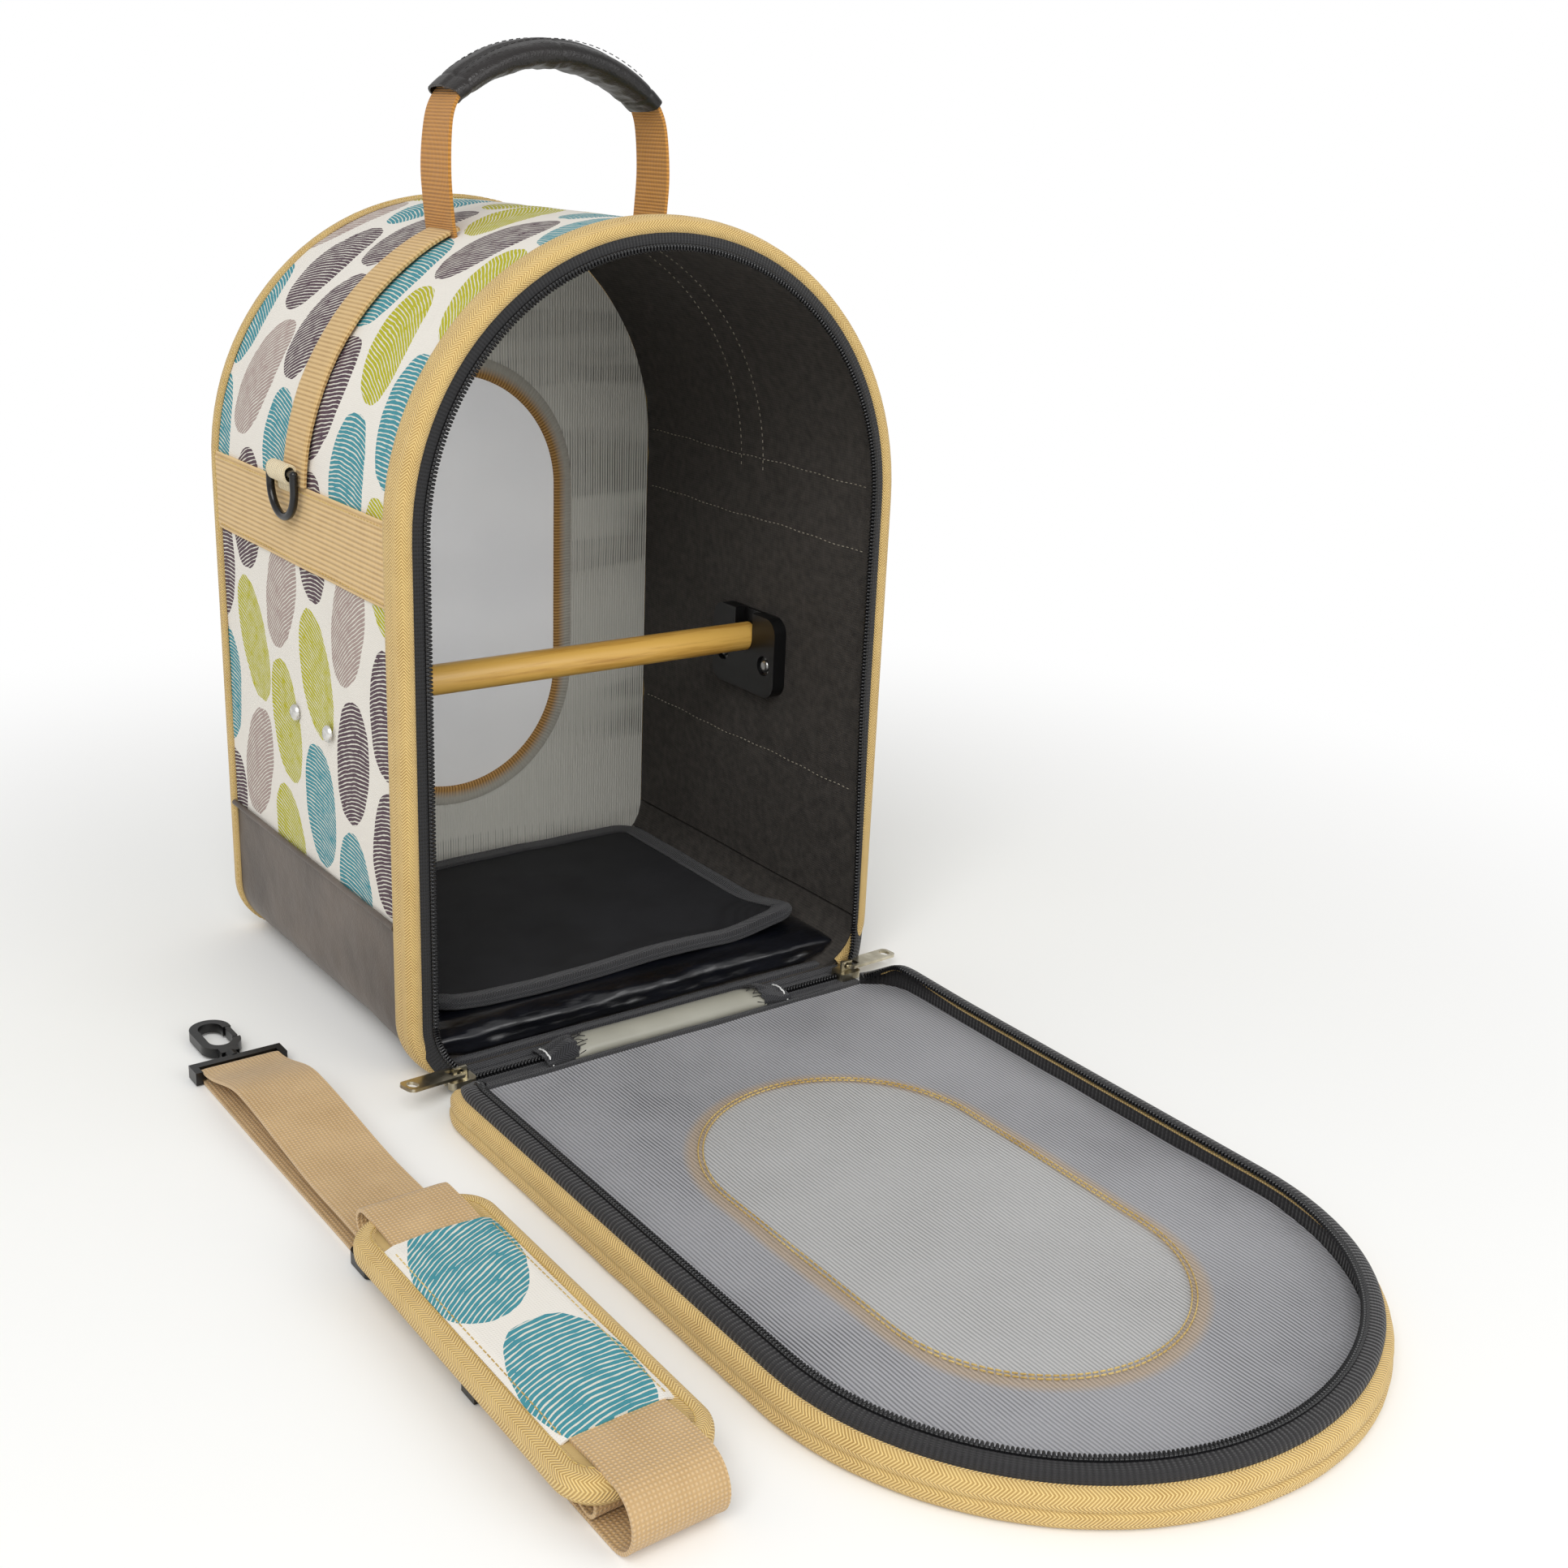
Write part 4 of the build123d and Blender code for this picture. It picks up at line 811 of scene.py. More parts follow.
def zip_teeth(name, rule, inset, out, forward, place):
    """One half of a coil zip: rounded teeth side by side on a cord."""
    run = (TOOTH_PITCH, inset, ARCH_RUN - inset)
    teeth = row_of(name, (1.35, 3.0, 2.5), *run, out, forward, 0.5)
    cord = row_of(name + "_cord", (TOOTH_PITCH, 1.5, 2.0), *run, out + 1.1, forward, 0.3)
    teeth = join_all([teeth, cord], name)
    move_points(teeth, rule)
    wrap(teeth, arch_path)
    return place(teeth)


BODY_TAPE = [(-2.4, 0.2), (-4.5, 1.2), (-7.5, 1.7), (-10.6, 1.9)]
body_tape = zip_strip("body_zip_cloth", 9, BODY_TAPE, body_zip_rule, 9.0, 320, 6, stand)
dress(body_tape, zip_cloth, stands_for=["body_zip_tape"])
body_teeth = zip_teeth("body_zip_teeth", body_zip_rule, 9.0, -10.5, 3.1, stand)
dress(body_teeth, coil_nylon, stands_for=["body_zip_coil"])
zip_seam = arch_row("body_zip_stitches", (2.0, 0.4, 0.4), 3.2, 46, ARCH_RUN - 46, -6.2, 1.75)
dress(stand(zip_seam), coil_thread)

# ---------------------------------------------------------------- panels and windows that fill the arch


def round_place(radius, angle, middle):
    """Place on a circle about (0, middle), with its outward direction."""
    out = (math.cos(angle), math.sin(angle))
    return (radius * out[0], middle + radius * out[1]), out


def oval_length(grow=0.0):
    return 2 * math.pi * (WINDOW_HALF + grow) + 4 * WINDOW_RUN


def oval_point(share, grow=0.0):
    """Place on the window's outline, with its outward direction; the share goes once round from the bottom."""
    radius, straight = WINDOW_HALF + grow, 2 * WINDOW_RUN
    bend, around = math.pi * radius, oval_length(grow)
    at = share * around
    if at < bend / 2:
        return round_place(radius, -math.pi / 2 - at / radius, -WINDOW_RUN)
    if at > around - bend / 2:
        return round_place(radius, -math.pi / 2 + (around - at) / radius, -WINDOW_RUN)
    at -= bend / 2
    if at < straight:
        return (-radius, -WINDOW_RUN + at), (-1, 0)
    at -= straight
    if at < bend:
        return round_place(radius, math.pi - at / radius, WINDOW_RUN)
    return (radius, WINDOW_RUN - at + bend), (1, 0)


def arch_point(share, inset):
    """Place on the arch's outline drawn in by the inset; the share goes once round from the bottom middle."""
    half, corner = HALF_W - inset, CORNER - inset
    runs = [half - corner, corner * math.pi / 2, WALL_RUN, half * math.pi / 2]
    at = share * 2 * sum(runs)
    side = -1
    if share > 0.5:
        at, side = 2 * sum(runs) - at, 1
    if at < runs[0]:
        return (side * at, inset)
    at -= runs[0]
    if at < runs[1]:
        angle = at / corner
        return (side * (half - corner + corner * math.sin(angle)), inset + corner - corner * math.cos(angle))
    at -= runs[1]
    if at < runs[2]:
        return (side * half, CORNER + at)
    angle = (at - runs[2]) / half
    return (side * half * math.cos(angle), SPRING + half * math.sin(angle))


def holed_panel(name, inset, window_h, depth, swell):
    """Panel that fills the arch round its window."""
    piece = flat_strip(name, 1.0, 1.0, 180, 16)

    def rule(x, y, z):
        (px, ph), ((ox, oh), _) = arch_point(min(x, 1.0), inset), oval_point(min(x, 1.0), -1.0)
        wide, high = ox + (px - ox) * y, window_h + oh + (ph - window_h - oh) * y
        wave = rumple(wide, high, 60, 1) + 0.5 * rumple(wide, high, 20, 6)
        return (wide, high, depth + swell * wave * math.sin(math.pi * y))

    move_points(piece, rule)
    close_ring(piece)
    return piece


def oval_pane(name, window_h, depth, swell, grow):
    """Pane of film a little larger than the window."""
    piece = flat_strip(name, 1.0, 1.0, 120, 22)

    def rule(x, y, z):
        (ox, oh), _ = oval_point(min(x, 1.0), grow)
        wide, high = ox * y, oh * y
        wave = rumple(wide, high, 38, 3) + 0.4 * rumple(wide, high, 14, 8)
        return (wide, window_h + high, depth + swell * wave * (1 - y**4))

    move_points(piece, rule)
    close_ring(piece)
    return piece


def oval_band(name, window_h, section, width):
    """Strip of tape folded round the window; its section gives (outwards, forwards) points."""
    around = oval_length()
    piece = flat_strip(name, around, width, 200, 8)
    fold_strip(piece, width, section)

    def rule(x, y, z):
        (ox, oh), (nx, nh) = oval_point(min(x / around, 1.0))
        return (ox + nx * y, window_h + oh + nh * y, z)

    move_points(piece, rule)
    close_ring(piece)
    return piece


def oval_stitches(name, window_h, out, forward, size, pitch):
    """Stitches that run round the window, each turned with its edge."""
    around = oval_length(out)
    pitch = around / round(around / pitch)
    row = row_of(name, size, pitch, 0, around + pitch / 4, round_mm=0.15)

    def rule(x, y, z):
        (ox, oh), (nx, nh) = oval_point(x / around % 1.0, out)
        return (ox + nx * y, window_h + oh + nh * y, forward + z)

    move_points(row, rule)
    face_out(row)
    return row


back_cloth = set_in(holed_panel("back_mesh_cloth", 4.8, WINDOW_Z, -222.2, 0.8), 0.8)
dress(back_cloth, back_knit, stands_for=["back_mesh"])
back_pane = set_in(oval_pane("back_window_film", WINDOW_Z, -222.4, 0.7, 3.0), 0.6)
dress(back_pane, back_film, stands_for=["back_window"])
INNER_TAPE = [(-1.6, -221.6), (-1.0, -220.8), (2.5, -220.6), (7.0, -220.9), (9.0, -221.6)]
back_trim = set_in(oval_band("back_window_tape", WINDOW_Z, INNER_TAPE, 11), 0.7)
dress(back_trim, back_seam, stands_for=["back_window_trim"])
OUTER_TAPE = [(-0.6, -223.3), (1.0, -223.7), (5.0, -223.7), (7.0, -223.3)]
outer_trim = set_in(oval_band("back_window_outer_tape", WINDOW_Z, OUTER_TAPE, 8), 0.4, turn_out=True)
dress(outer_trim, pale_tape)
for name, out, forward, size in (
    ("back_window_stitches", 0.2, -220.4, (2.4, 0.9, 0.7)),
    ("back_window_outer_stitches", 0.8, -224.0, (2.4, 0.7, 0.5)),
):
    dress(stand(oval_stitches(name, WINDOW_Z, out, forward, size, 2.9)), gold_thread)

# ---------------------------------------------------------------- door


def door_lean(along):
    """The door's far side wall sags outwards; 0 on the near side and 1 along the far side."""
    return ease(along, 520, 720) * (1 - ease(along, 900, 965))


def door_zip_rule(x, y, z):
    curl = ease(min(x, ARCH_RUN - x), 40, 12)
    sag = door_lean(x) * ease(z, 11, 17)
    y, z = y + 6.5 * sag, z - 5.5 * sag
    return (x, y + 3.0 * curl, z - 9.0 * curl * ease(z, 6, 14))


DOOR_INSET = 24.0
DOOR_EDGE_RUN = ARCH_RUN - 2 * DOOR_INSET
door_edge = flat_strip("door_edge_binding", DOOR_EDGE_RUN, 32, 330, 18)
DOOR_SECTION = [
    (-5.0, 0.5), (-2.0, 0.3), (0.8, 0.8), (2.6, 2.6), (3.0, 5.0), (2.3, 7.0),
    (1.4, 7.8), (2.4, 9.0), (2.5, 11.2), (1.4, 13.6), (-1.0, 14.6), (-3.2, 14.2),
]
fold_strip(door_edge, 32, DOOR_SECTION)


def door_edge_rule(x, y, z):
    """Draws the binding's two ends in, where they are turned under and sewn, and lowers its sagging side."""
    pinch = 1 - ease(min(x, DOOR_EDGE_RUN - x), 0, 9)
    along, up = x + DOOR_INSET, z + (7 - z) * 0.45 * pinch
    out = y - 2.2 * pinch + 0.25 * rumple(x, z, 16, 7)
    return (along, out, up * (1 - 0.28 * door_lean(along)))


move_points(door_edge, door_edge_rule)
set_in(door_edge, 1.0, lay_on_door, arch_path)
dress(door_edge, gold_twill, "door", ["door_binding"])
door_seam = arch_row("door_binding_stitches", (2.4, 0.5, 0.55), 3.8, 30, ARCH_RUN - 30, 1.8, 7.7, 0.15)
face_out(lay_on_door(door_seam))
dress(door_seam, gold_thread, "door")

DOOR_TAPE = [(-4.4, 1.4), (-3.4, 3.0), (-3.0, 10.0), (-2.4, 15.0), (-3.2, 17.4), (-5.6, 18.3), (-10.4, 18.4)]
door_wall = zip_strip("door_zip_cloth", 26, DOOR_TAPE, door_zip_rule, 12, 330, 14, lay_on_door)
dress(door_wall, gusset_cloth, "door", ["door_zip_tape"])
door_teeth = zip_teeth("door_zip_teeth", door_zip_rule, 12, -10.3, 19.6, lay_on_door)
dress(door_teeth, coil_nylon, "door", ["door_zip_coil"])

CLOTH_LOW, CLOTH_HIGH, CLOTH_INSET = 6.0, 395.0, 4.4
CLOTH_H = CLOTH_HIGH - CLOTH_LOW
door_cloth = flat_strip("door_mesh_cloth", 2.0, CLOTH_H, 60, 90)


def door_cloth_rule(x, y, z):
    """Fills the arch, with closer points towards its round top."""
    high = CLOTH_LOW + CLOTH_H * (1 - (1 - y / CLOTH_H) ** 1.6)
    wide = (x - 1.0) * half_width(high, CLOTH_INSET)
    return (wide, high, 4.6 + 0.9 * rumple(wide, high, 75, 2) + 0.35 * rumple(wide, high, 25, 4))


move_points(door_cloth, door_cloth_rule)
thicken(lay_on_door(door_cloth), 0.7)
dress(door_cloth, door_knit, "door", ["door_mesh"])
outer_cloth = set_in(holed_panel("door_outer_cloth", 0.6, DOOR_WINDOW_H, 0.7, 0.2), 0.9, lay_on_door)
dress(outer_cloth, canvas_flat, "door", ["door_panel"])
inner_door_cloth = set_in(holed_panel("door_inner_cloth", 4.0, DOOR_WINDOW_H, 2.0, 0.2), 0.3, lay_on_door)
dress(inner_door_cloth, door_backing, "door")
door_pane = set_in(oval_pane("door_window_film", DOOR_WINDOW_H, 1.9, 0.5, 5.0), 0.6, lay_on_door)
dress(door_pane, door_film, "door", ["door_window"])
door_trim = oval_band("door_window_tape", DOOR_WINDOW_H, [(-0.5, 2.6), (2.0, 3.2), (6.0, 3.2), (9.5, 2.6)], 10)
dress(set_in(door_trim, 0.7, lay_on_door), tan_tape, "door", ["door_window_trim"])
door_rim = oval_band("door_window_outer_tape", DOOR_WINDOW_H, [(-1.2, 0.6), (0.5, 0.3), (5.5, 0.3), (7.5, 0.6)], 9)
dress(set_in(door_rim, 0.25, lay_on_door, turn_out=True), tan_tape, "door")
for name, out in (("door_window_stitches", 0.2), ("door_window_second_stitches", 2.4)):
    row = lay_on_door(oval_stitches(name, DOOR_WINDOW_H, out, 5.6, (2.3, 0.55, 0.7), 3.1))
    face_out(row)
    dress(row, gold_thread, "door")

# ---------------------------------------------------------------- hinge strip between body and door

CHAIN_Y, CHAIN_HALF_D = -124.05, 8.5
CHAIN_IN, CHAIN_OUT = 57.0, 112.0
STRIP_HALF, STRIP_BACK = 121, -104.0
WEB_HALF, WEB_FRONT, WEB_BACK = 117, -147, -131.2


def floor_strip(name, x0, x1, y0, y1, height_rule, steps, across, thickness):
    """Strip of cloth lying level; its UV runs along x and then along y."""
    piece = flat_strip(name, x1 - x0, y1 - y0, steps, across)
    move_points(piece, lambda x, y, z: (x + x0, y + y0, height_rule(x + x0, y + y0)))
    thicken(piece, thickness)
    return piece


def strip_height(x, y):
    """Top of the hinge strip: flat where the sliders run, rising to the cushion at the back."""
    free = ease(abs(y - CHAIN_Y), 6.5, 10)
    return 1.9 + (0.3 + 0.35 * rumple(x, y, 14, 5)) * free + 3.0 * ease(y, -117, -108)


def chain_height(x, y):
    """Top of the zip tape: level under the sliders, its edges a little wavy."""
    free = ease(abs(y - CHAIN_Y), 6.0, 8.5)
    return 2.15 + (0.6 + 0.35 * rumple(x, y, 9, 7)) * free


def web_height(x, y):
    return 2.6 + 0.3 * rumple(x, y, 16, 2)


strip = floor_strip("hinge_strip", -STRIP_HALF, STRIP_HALF, DOOR_Y0, STRIP_BACK, strip_height, 120, 24, 1.2)
dress(strip, mat_twill, stands_for=["hinge_tape"])
bridge = floor_strip("hinge_web", -WEB_HALF, WEB_HALF, WEB_FRONT, WEB_BACK, web_height, 110, 12, 0.9)
dress(bridge, mat_twill, None)
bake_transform(bridge)

SLEEVE_SECTION = [
    (-7.6, 2.2), (-8.3, 4.4), (-7.0, 7.4), (-3.4, 9.6), (0.0, 10.2), (3.6, 9.7), (7.0, 7.8), (8.3, 4.8), (7.6, 2.2)
]
SLEEVE_RUN, SLEEVE_AROUND = 117.0, 26.0
sleeve = flat_strip("hinge_sleeve_cover", SLEEVE_RUN, SLEEVE_AROUND, 90, 26)
fold_strip(sleeve, SLEEVE_AROUND, SLEEVE_SECTION)


def sleeve_rule(x, y, z):
    """Flattens the sleeve a little towards its ends."""
    flat = 1 - 0.22 * (1 - ease(min(x, SLEEVE_RUN - x), 0, 12))
    up = 2.4 + (z - 2.4) * flat + 0.2 * rumple(x, y, 40, 3)
    return (x - SLEEVE_RUN / 2, CHAIN_Y + y * (1 + 0.05 * (1 - flat)), up)


move_points(sleeve, sleeve_rule)
thicken(sleeve, 0.8)
face_out(sleeve)
dress(sleeve, sleeve_coat, stands_for=["hinge_sleeve"])


def hair(name, start, bend, end):
    """One loose thread, curved from its start to its end."""
    bpy.ops.object.select_all(action="DESELECT")
    bpy.ops.curve.primitive_bezier_curve_add()
    line = lone(name)
    line.data.dimensions = "3D"
    line.data.bevel_depth = 0.22 * MM
    line.data.bevel_resolution = 1
    line.data.resolution_u = 6
    for knot, place in zip(line.data.splines[0].bezier_points, (start, end)):
        knot.handle_left_type = knot.handle_right_type = "FREE"
        knot.co = Vector(place) * MM
        knot.handle_left = knot.handle_right = Vector(bend) * MM
    bpy.ops.object.convert(target="MESH")
    return lone(name)


for side, hand in SIDES:
    low, high = sorted((side * CHAIN_IN, side * CHAIN_OUT))
    place = (low, high, CHAIN_Y - CHAIN_HALF_D, CHAIN_Y + CHAIN_HALF_D)
    tape = floor_strip(f"{hand}_chain_tape", *place, chain_height, 60, 18, 0.6)
    dress(tape, mat_twill)
    start = CHAIN_IN + 6 if side > 0 else -CHAIN_OUT - 1
    for row_name, out, shift, node in (("far", 0.6, 0.0, "hinge_chain"), ("near", -0.6, 0.5, None)):
        place = (start + shift * TOOTH_PITCH, start + 50, CHAIN_Y + out, 3.5)
        row = row_of(f"{hand}_chain_{row_name}_teeth", (1.3, 1.7, 2.3), TOOTH_PITCH, *place, 0.35)
        dress(row, coil_nylon, stands_for=[node] if node and side < 0 else ())
    tack = row_of(f"{hand}_bar_tack", (2.4, 0.75, 0.7), 1.7, -8.6, 8.6, round_mm=0.15)

    def tack_rule(x, y, z):
        """Zigzag thread that lies over the cuff from edge to edge."""
        over = 0.9 * bell(x, 0, 3.4) - 3.2 * ease(abs(x), 4.5, 8.6)
        return (side * 71.6 + y + 0.3 * math.sin(x * 1.85), CHAIN_Y + x, 6.3 + over + z)

    move_points(tack, tack_rule)
    face_out(tack)
    dress(tack, pale_thread, stands_for=["bar_tacks"] if side < 0 else ())
    cuff = flat_strip(f"{hand}_chain_cuff", 18, SLEEVE_AROUND, 20, 26)
    fold_strip(cuff, SLEEVE_AROUND, SLEEVE_SECTION)

    def cuff_rule(x, y, z):
        """Wraps the sleeve's end with a ragged inner edge and flattens outwards."""
        up = 2.3 + (z - 1.6) * (1 - 0.55 * ease(x, 3, 15)) + 0.3 * rumple(x, y, 6, 3)
        ragged = 0.9 * math.sin(y * 2.1) * ease(x, 2, 0)
        return (side * (56 + x + ragged), CHAIN_Y + 1.06 * y, up)

    move_points(cuff, cuff_rule)
    thicken(cuff, 0.7, inwards=side > 0)
    face_out(cuff)
    dress(cuff, mat_twill)
    hairs = []
    for k in range(14):
        off = -8.0 + 16.0 * k / 13
        reach = 3.0 + 3.5 * abs(math.sin(k * 2.3))
        across, top = CHAIN_Y + off, 10.6 - 0.1 * off**2
        start = (side * 58.5, across, top)
        bend = (side * (56 - reach * 0.5), across + math.sin(k * 1.7), top + 1.2 + 0.8 * math.sin(k * 3.1))
        end = (side * (55.5 - reach), across + 2.0 * math.sin(k * 1.3), top + 0.8 + 1.2 * math.cos(k * 2.1))
        hairs.append(hair(f"{hand}_fray_{k}", start, bend, end))
    dress(join_all(hairs, f"{hand}_frayed_threads"), dark_thread)

# ---------------------------------------------------------------- side bands, straps and D-rings

BAND_Y, BAND_LOW, BAND_RUN, BAND_W = -97.8, 232.0, 202.6, 40


def stand_on_wall(piece, side):
    """Turns a strip laid flat so that it lies on a side wall: its length runs back along y, its width up."""

    def rule(x, y, z):
        height = BAND_LOW + y
        drop = HALF_W - math.sqrt(HALF_W**2 - max(height - SPRING, 0.0) ** 2)
        return (side * (HALF_W - drop + z), BAND_Y + x, height)

    move_points(piece, rule)
    face_out(piece)


STRAP_LOW = CORNER_RUN + WALL_RUN + HALF_W * math.asin(8.2 / HALF_W)
STRAP_HIGH = CORNER_RUN + WALL_RUN + HALF_W * math.radians(66.4)
ARCH_STRAP_FRONT, ARCH_STRAP_W, LOOP_AROUND = -124.5, 25, 44
LOOP_SECTION = [
    (2.2, 268), (2.4, 272), (2.2, 276.5), (2.8, 280.6), (5.7, 282.4), (8.9, 280.8),
    (9.7, 277.2), (8.4, 273.8), (5.9, 272.2), (4.0, 271.2), (3.9, 268.6),
]
for side, hand in SIDES:
    band = flat_strip(f"{hand}_band", BAND_RUN, BAND_W, 90, 22)

    def band_rule(x, y, z):
        return (x, y, 1.9 + 0.35 * rumple(x, y, 40, side) - 0.6 * ease(min(y, BAND_W - y), 1.6, 0))

    move_points(band, band_rule)
    thicken(band, 1.5)
    stand_on_wall(band, side)
    dress(band, band_weave, stands_for=[f"{hand}_side_band"])
    for k, up in enumerate((2.6, 37.4)):
        seam = row_of(f"{hand}_band_stitches_{k}", STITCH, 3.3, 1, 201, up, 2.0)
        stand_on_wall(seam, side)
        dress(seam, gold_thread)

    start, end = (STRAP_LOW, STRAP_HIGH) if side < 0 else (ARCH_RUN - STRAP_HIGH, ARCH_RUN - STRAP_LOW)
    strap = flat_strip(f"{hand}_arch_strap", end - start, ARCH_STRAP_W, 110, 14)

    def strap_rule(x, y, z):
        hem = 0.5 * ease(min(y, ARCH_STRAP_W - y), 1.4, 0)
        return (x + start, 1.9 + 0.3 * rumple(x, y, 30, 4) - hem, ARCH_STRAP_FRONT + y)

    move_points(strap, strap_rule)
    set_in(strap, 1.5, path=arch_path)
    dress(strap, strap_weave, stands_for=[f"{hand}_side_strap"])
    for k, forward in enumerate((ARCH_STRAP_FRONT + ARCH_STRAP_W - 2.1, ARCH_STRAP_FRONT + 2.1)):
        for label, size, pitch, first, last, out, thread in (
            ("stitches", STITCH, 3.3, start + 2, end - 2, 1.95, gold_thread),
            ("inner_stitches", (1.7, 0.4, 0.45), 3.9, start - 8, end + 12, -5.2, dull_thread),
        ):
            seam = arch_row(f"{hand}_strap_{label}_{k}", size, pitch, first, last, out, forward)
            dress(stand(seam), thread)

    loop = flat_strip(f"{hand}_ring_strap", 20.0, LOOP_AROUND, 18, 48)
    fold_strip(loop, LOOP_AROUND, LOOP_SECTION)
    move_points(loop, lambda x, y, z: (side * (HALF_W + y - 0.2), x - 4.0, z))
    thicken(loop, 1.3, inwards=side < 0)
    face_out(loop)
    dress(loop, loop_weave, stands_for=[f"{hand}_ring_loop"])
    paint(ring_plastic, f"{hand}_d_ring")
    paint(slider_metal, f"{hand}_slider", f"{hand}_pull")
    paint(bracket_plastic, f"{hand}_perch_bracket")

# ---------------------------------------------------------------- handle

RISER_X, RISER_RUN, RISER_W = 57.0, 82, 29
RISER_FOLD = [
    (57.3, 386.5), (58.4, 393), (59.6, 404), (60.2, 418), (59.4, 433), (57.0, 445), (51.5, 453.5), (43.5, 458.5)
]
GRIP_END_Z, GRIP_SAG = 449.49, 22.0
GRIP_R = (RISER_X**2 + GRIP_SAG**2) / (2 * GRIP_SAG)
GRIP_HALF = math.asin(RISER_X / GRIP_R)
GRIP_Z = GRIP_END_Z + GRIP_SAG - GRIP_R
GRIP_SHARE = 0.97
GRIP_RUN, GRIP_AROUND = 2 * GRIP_SHARE * GRIP_HALF * GRIP_R, 82.0
GRIP_SEAM_RUN = GRIP_RUN - 22

for side, hand in SIDES:
    riser = flat_strip(f"{hand}_handle_riser", RISER_RUN, RISER_W, 60, 14)

    def riser_rule(x, y, z):
        out, up = along_line(RISER_FOLD, min(x / RISER_RUN, 1.0))
        narrow = 1 - 0.07 * ease(x, 30, 62)
        return (side * (out + 0.35 * rumple(x, y, 15, 3)), (y - RISER_W / 2) * narrow, up)

    move_points(riser, riser_rule)
    thicken(riser, 1.7, inwards=side > 0)
    face_out(riser)
    dress(riser, riser_weave, None, ["handle_webbing"] if side < 0 else ())
    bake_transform(riser)
    for k, up in enumerate((391.5, 396.5)):
        seam = row_of(f"{hand}_riser_stitches_{k}", STITCH, 3.0, -12.5, 12.5)
        move_points(seam, lambda x, y, z: (side * (58.9 + 0.5 * k + z), x, up + y))
        face_out(seam)
        dress(seam, gold_thread)


def grip_place(share, reach, y):
    """Place on the grip's arc; the share is 0 in its middle and 1 over the webbing at the right."""
    return (reach * math.sin(share * GRIP_HALF), y, GRIP_Z + reach * math.cos(share * GRIP_HALF))


def grip_rule(x, y, z):
    u, angle = x / GRIP_RUN, 2 * math.pi * y / GRIP_AROUND
    wide, tall = math.cos(angle), math.sin(angle)
    wide = math.copysign(abs(wide) ** 0.75, wide)
    tall = math.copysign(abs(tall) ** 0.8, tall)
    end = abs(2 * u - 1)
    half_t = 6.5 - 1.6 * end**2.5
    half_w = 15.4 - 0.9 * end**3 - 0.9 * bell(u, 0.5, 0.2)
    # the wrap's edge lies along the top, and the leatherette puckers underneath
    flap = 0.9 * ease(wide, -0.30, -0.22) if tall > 0 else 0
    seam = -0.7 * bell(end, 0.87, 0.012) - 0.35 * bell(u, 0.5, 0.008)
    pucker = (0.8 * rumple(x, y, 9, 3) + 0.5 * rumple(x, y, 4.5, 5)) * (1 - tall) / 2
    grow = flap + seam + pucker + 0.35 * rumple(x, y, 12, 8)
    return grip_place(GRIP_SHARE * (2 * u - 1), GRIP_R + (half_t + grow) * tall, (half_w + 0.5 * grow) * wide)


grip = flat_strip("grip_wrap", GRIP_RUN, GRIP_AROUND, 150, 60)
move_points(grip, grip_rule)
close_ring(grip)
thicken(grip, 1.3)
dress(grip, grip_hide, "handle", ["handle_grip"], 60)
for k, turn in enumerate((0.45, -0.62)):
    seam = row_of(f"grip_stitches_{k}", (2.2, 0.4, 0.4), 3.6, 0, GRIP_SEAM_RUN)

    def grip_seam_rule(x, y, z):
        share = 0.8 * (2 * x / GRIP_SEAM_RUN - 1)
        reach = GRIP_R + 7.7 - 2.2 * abs(share) ** 2.5 - 1.6 * turn**2 + z
        return grip_place(share, reach, 15 * turn + y)

    move_points(seam, grip_seam_rule)
    face_out(seam)
    dress(seam, dark_thread, "handle")

# ---------------------------------------------------------------- perch and its fastenings

paint(wood, "perch")
paint(steel, "bracket_washers")
PERCH_Z, SCREW_YS = 155, (-28, 12)


def dome(name, radius, rise, place, facing):
    """Rounded head of a screw or nut with a small recess, facing along x."""
    bpy.ops.object.select_all(action="DESELECT")
    bpy.ops.mesh.primitive_uv_sphere_add(segments=24, ring_count=12, radius=1.0)
    piece = lone(name)

    def rule(x, y, z):
        x, y, z = x * MM, y * MM, z * MM
        recess = 0.6 if math.hypot(x, y) < 0.3 else 0
        return (place[0] + facing * (max(z, 0) * rise - recess), place[1] + x * radius, place[2] + y * radius)

    move_points(piece, rule)
    face_out(piece)
    return piece


for label, node, radius, rise, face, turned, metal in (
    ("screw_heads", "bracket_screws", 3.6, 2.2, 125.4, -1, steel),
    ("cap_nuts", "bracket_nuts", 4.4, 2.8, 137.4, 1, cap_metal),
):
    heads = [
        dome(f"{label}_{side}_{y}", radius, rise, (side * face, y, PERCH_Z), side * turned)
        for side in (-1, 1)
        for y in SCREW_YS
    ]
    dress(join_all(heads, label), metal, stands_for=[node], angle=50)

# ---------------------------------------------------------------- floor cushion and tray mat


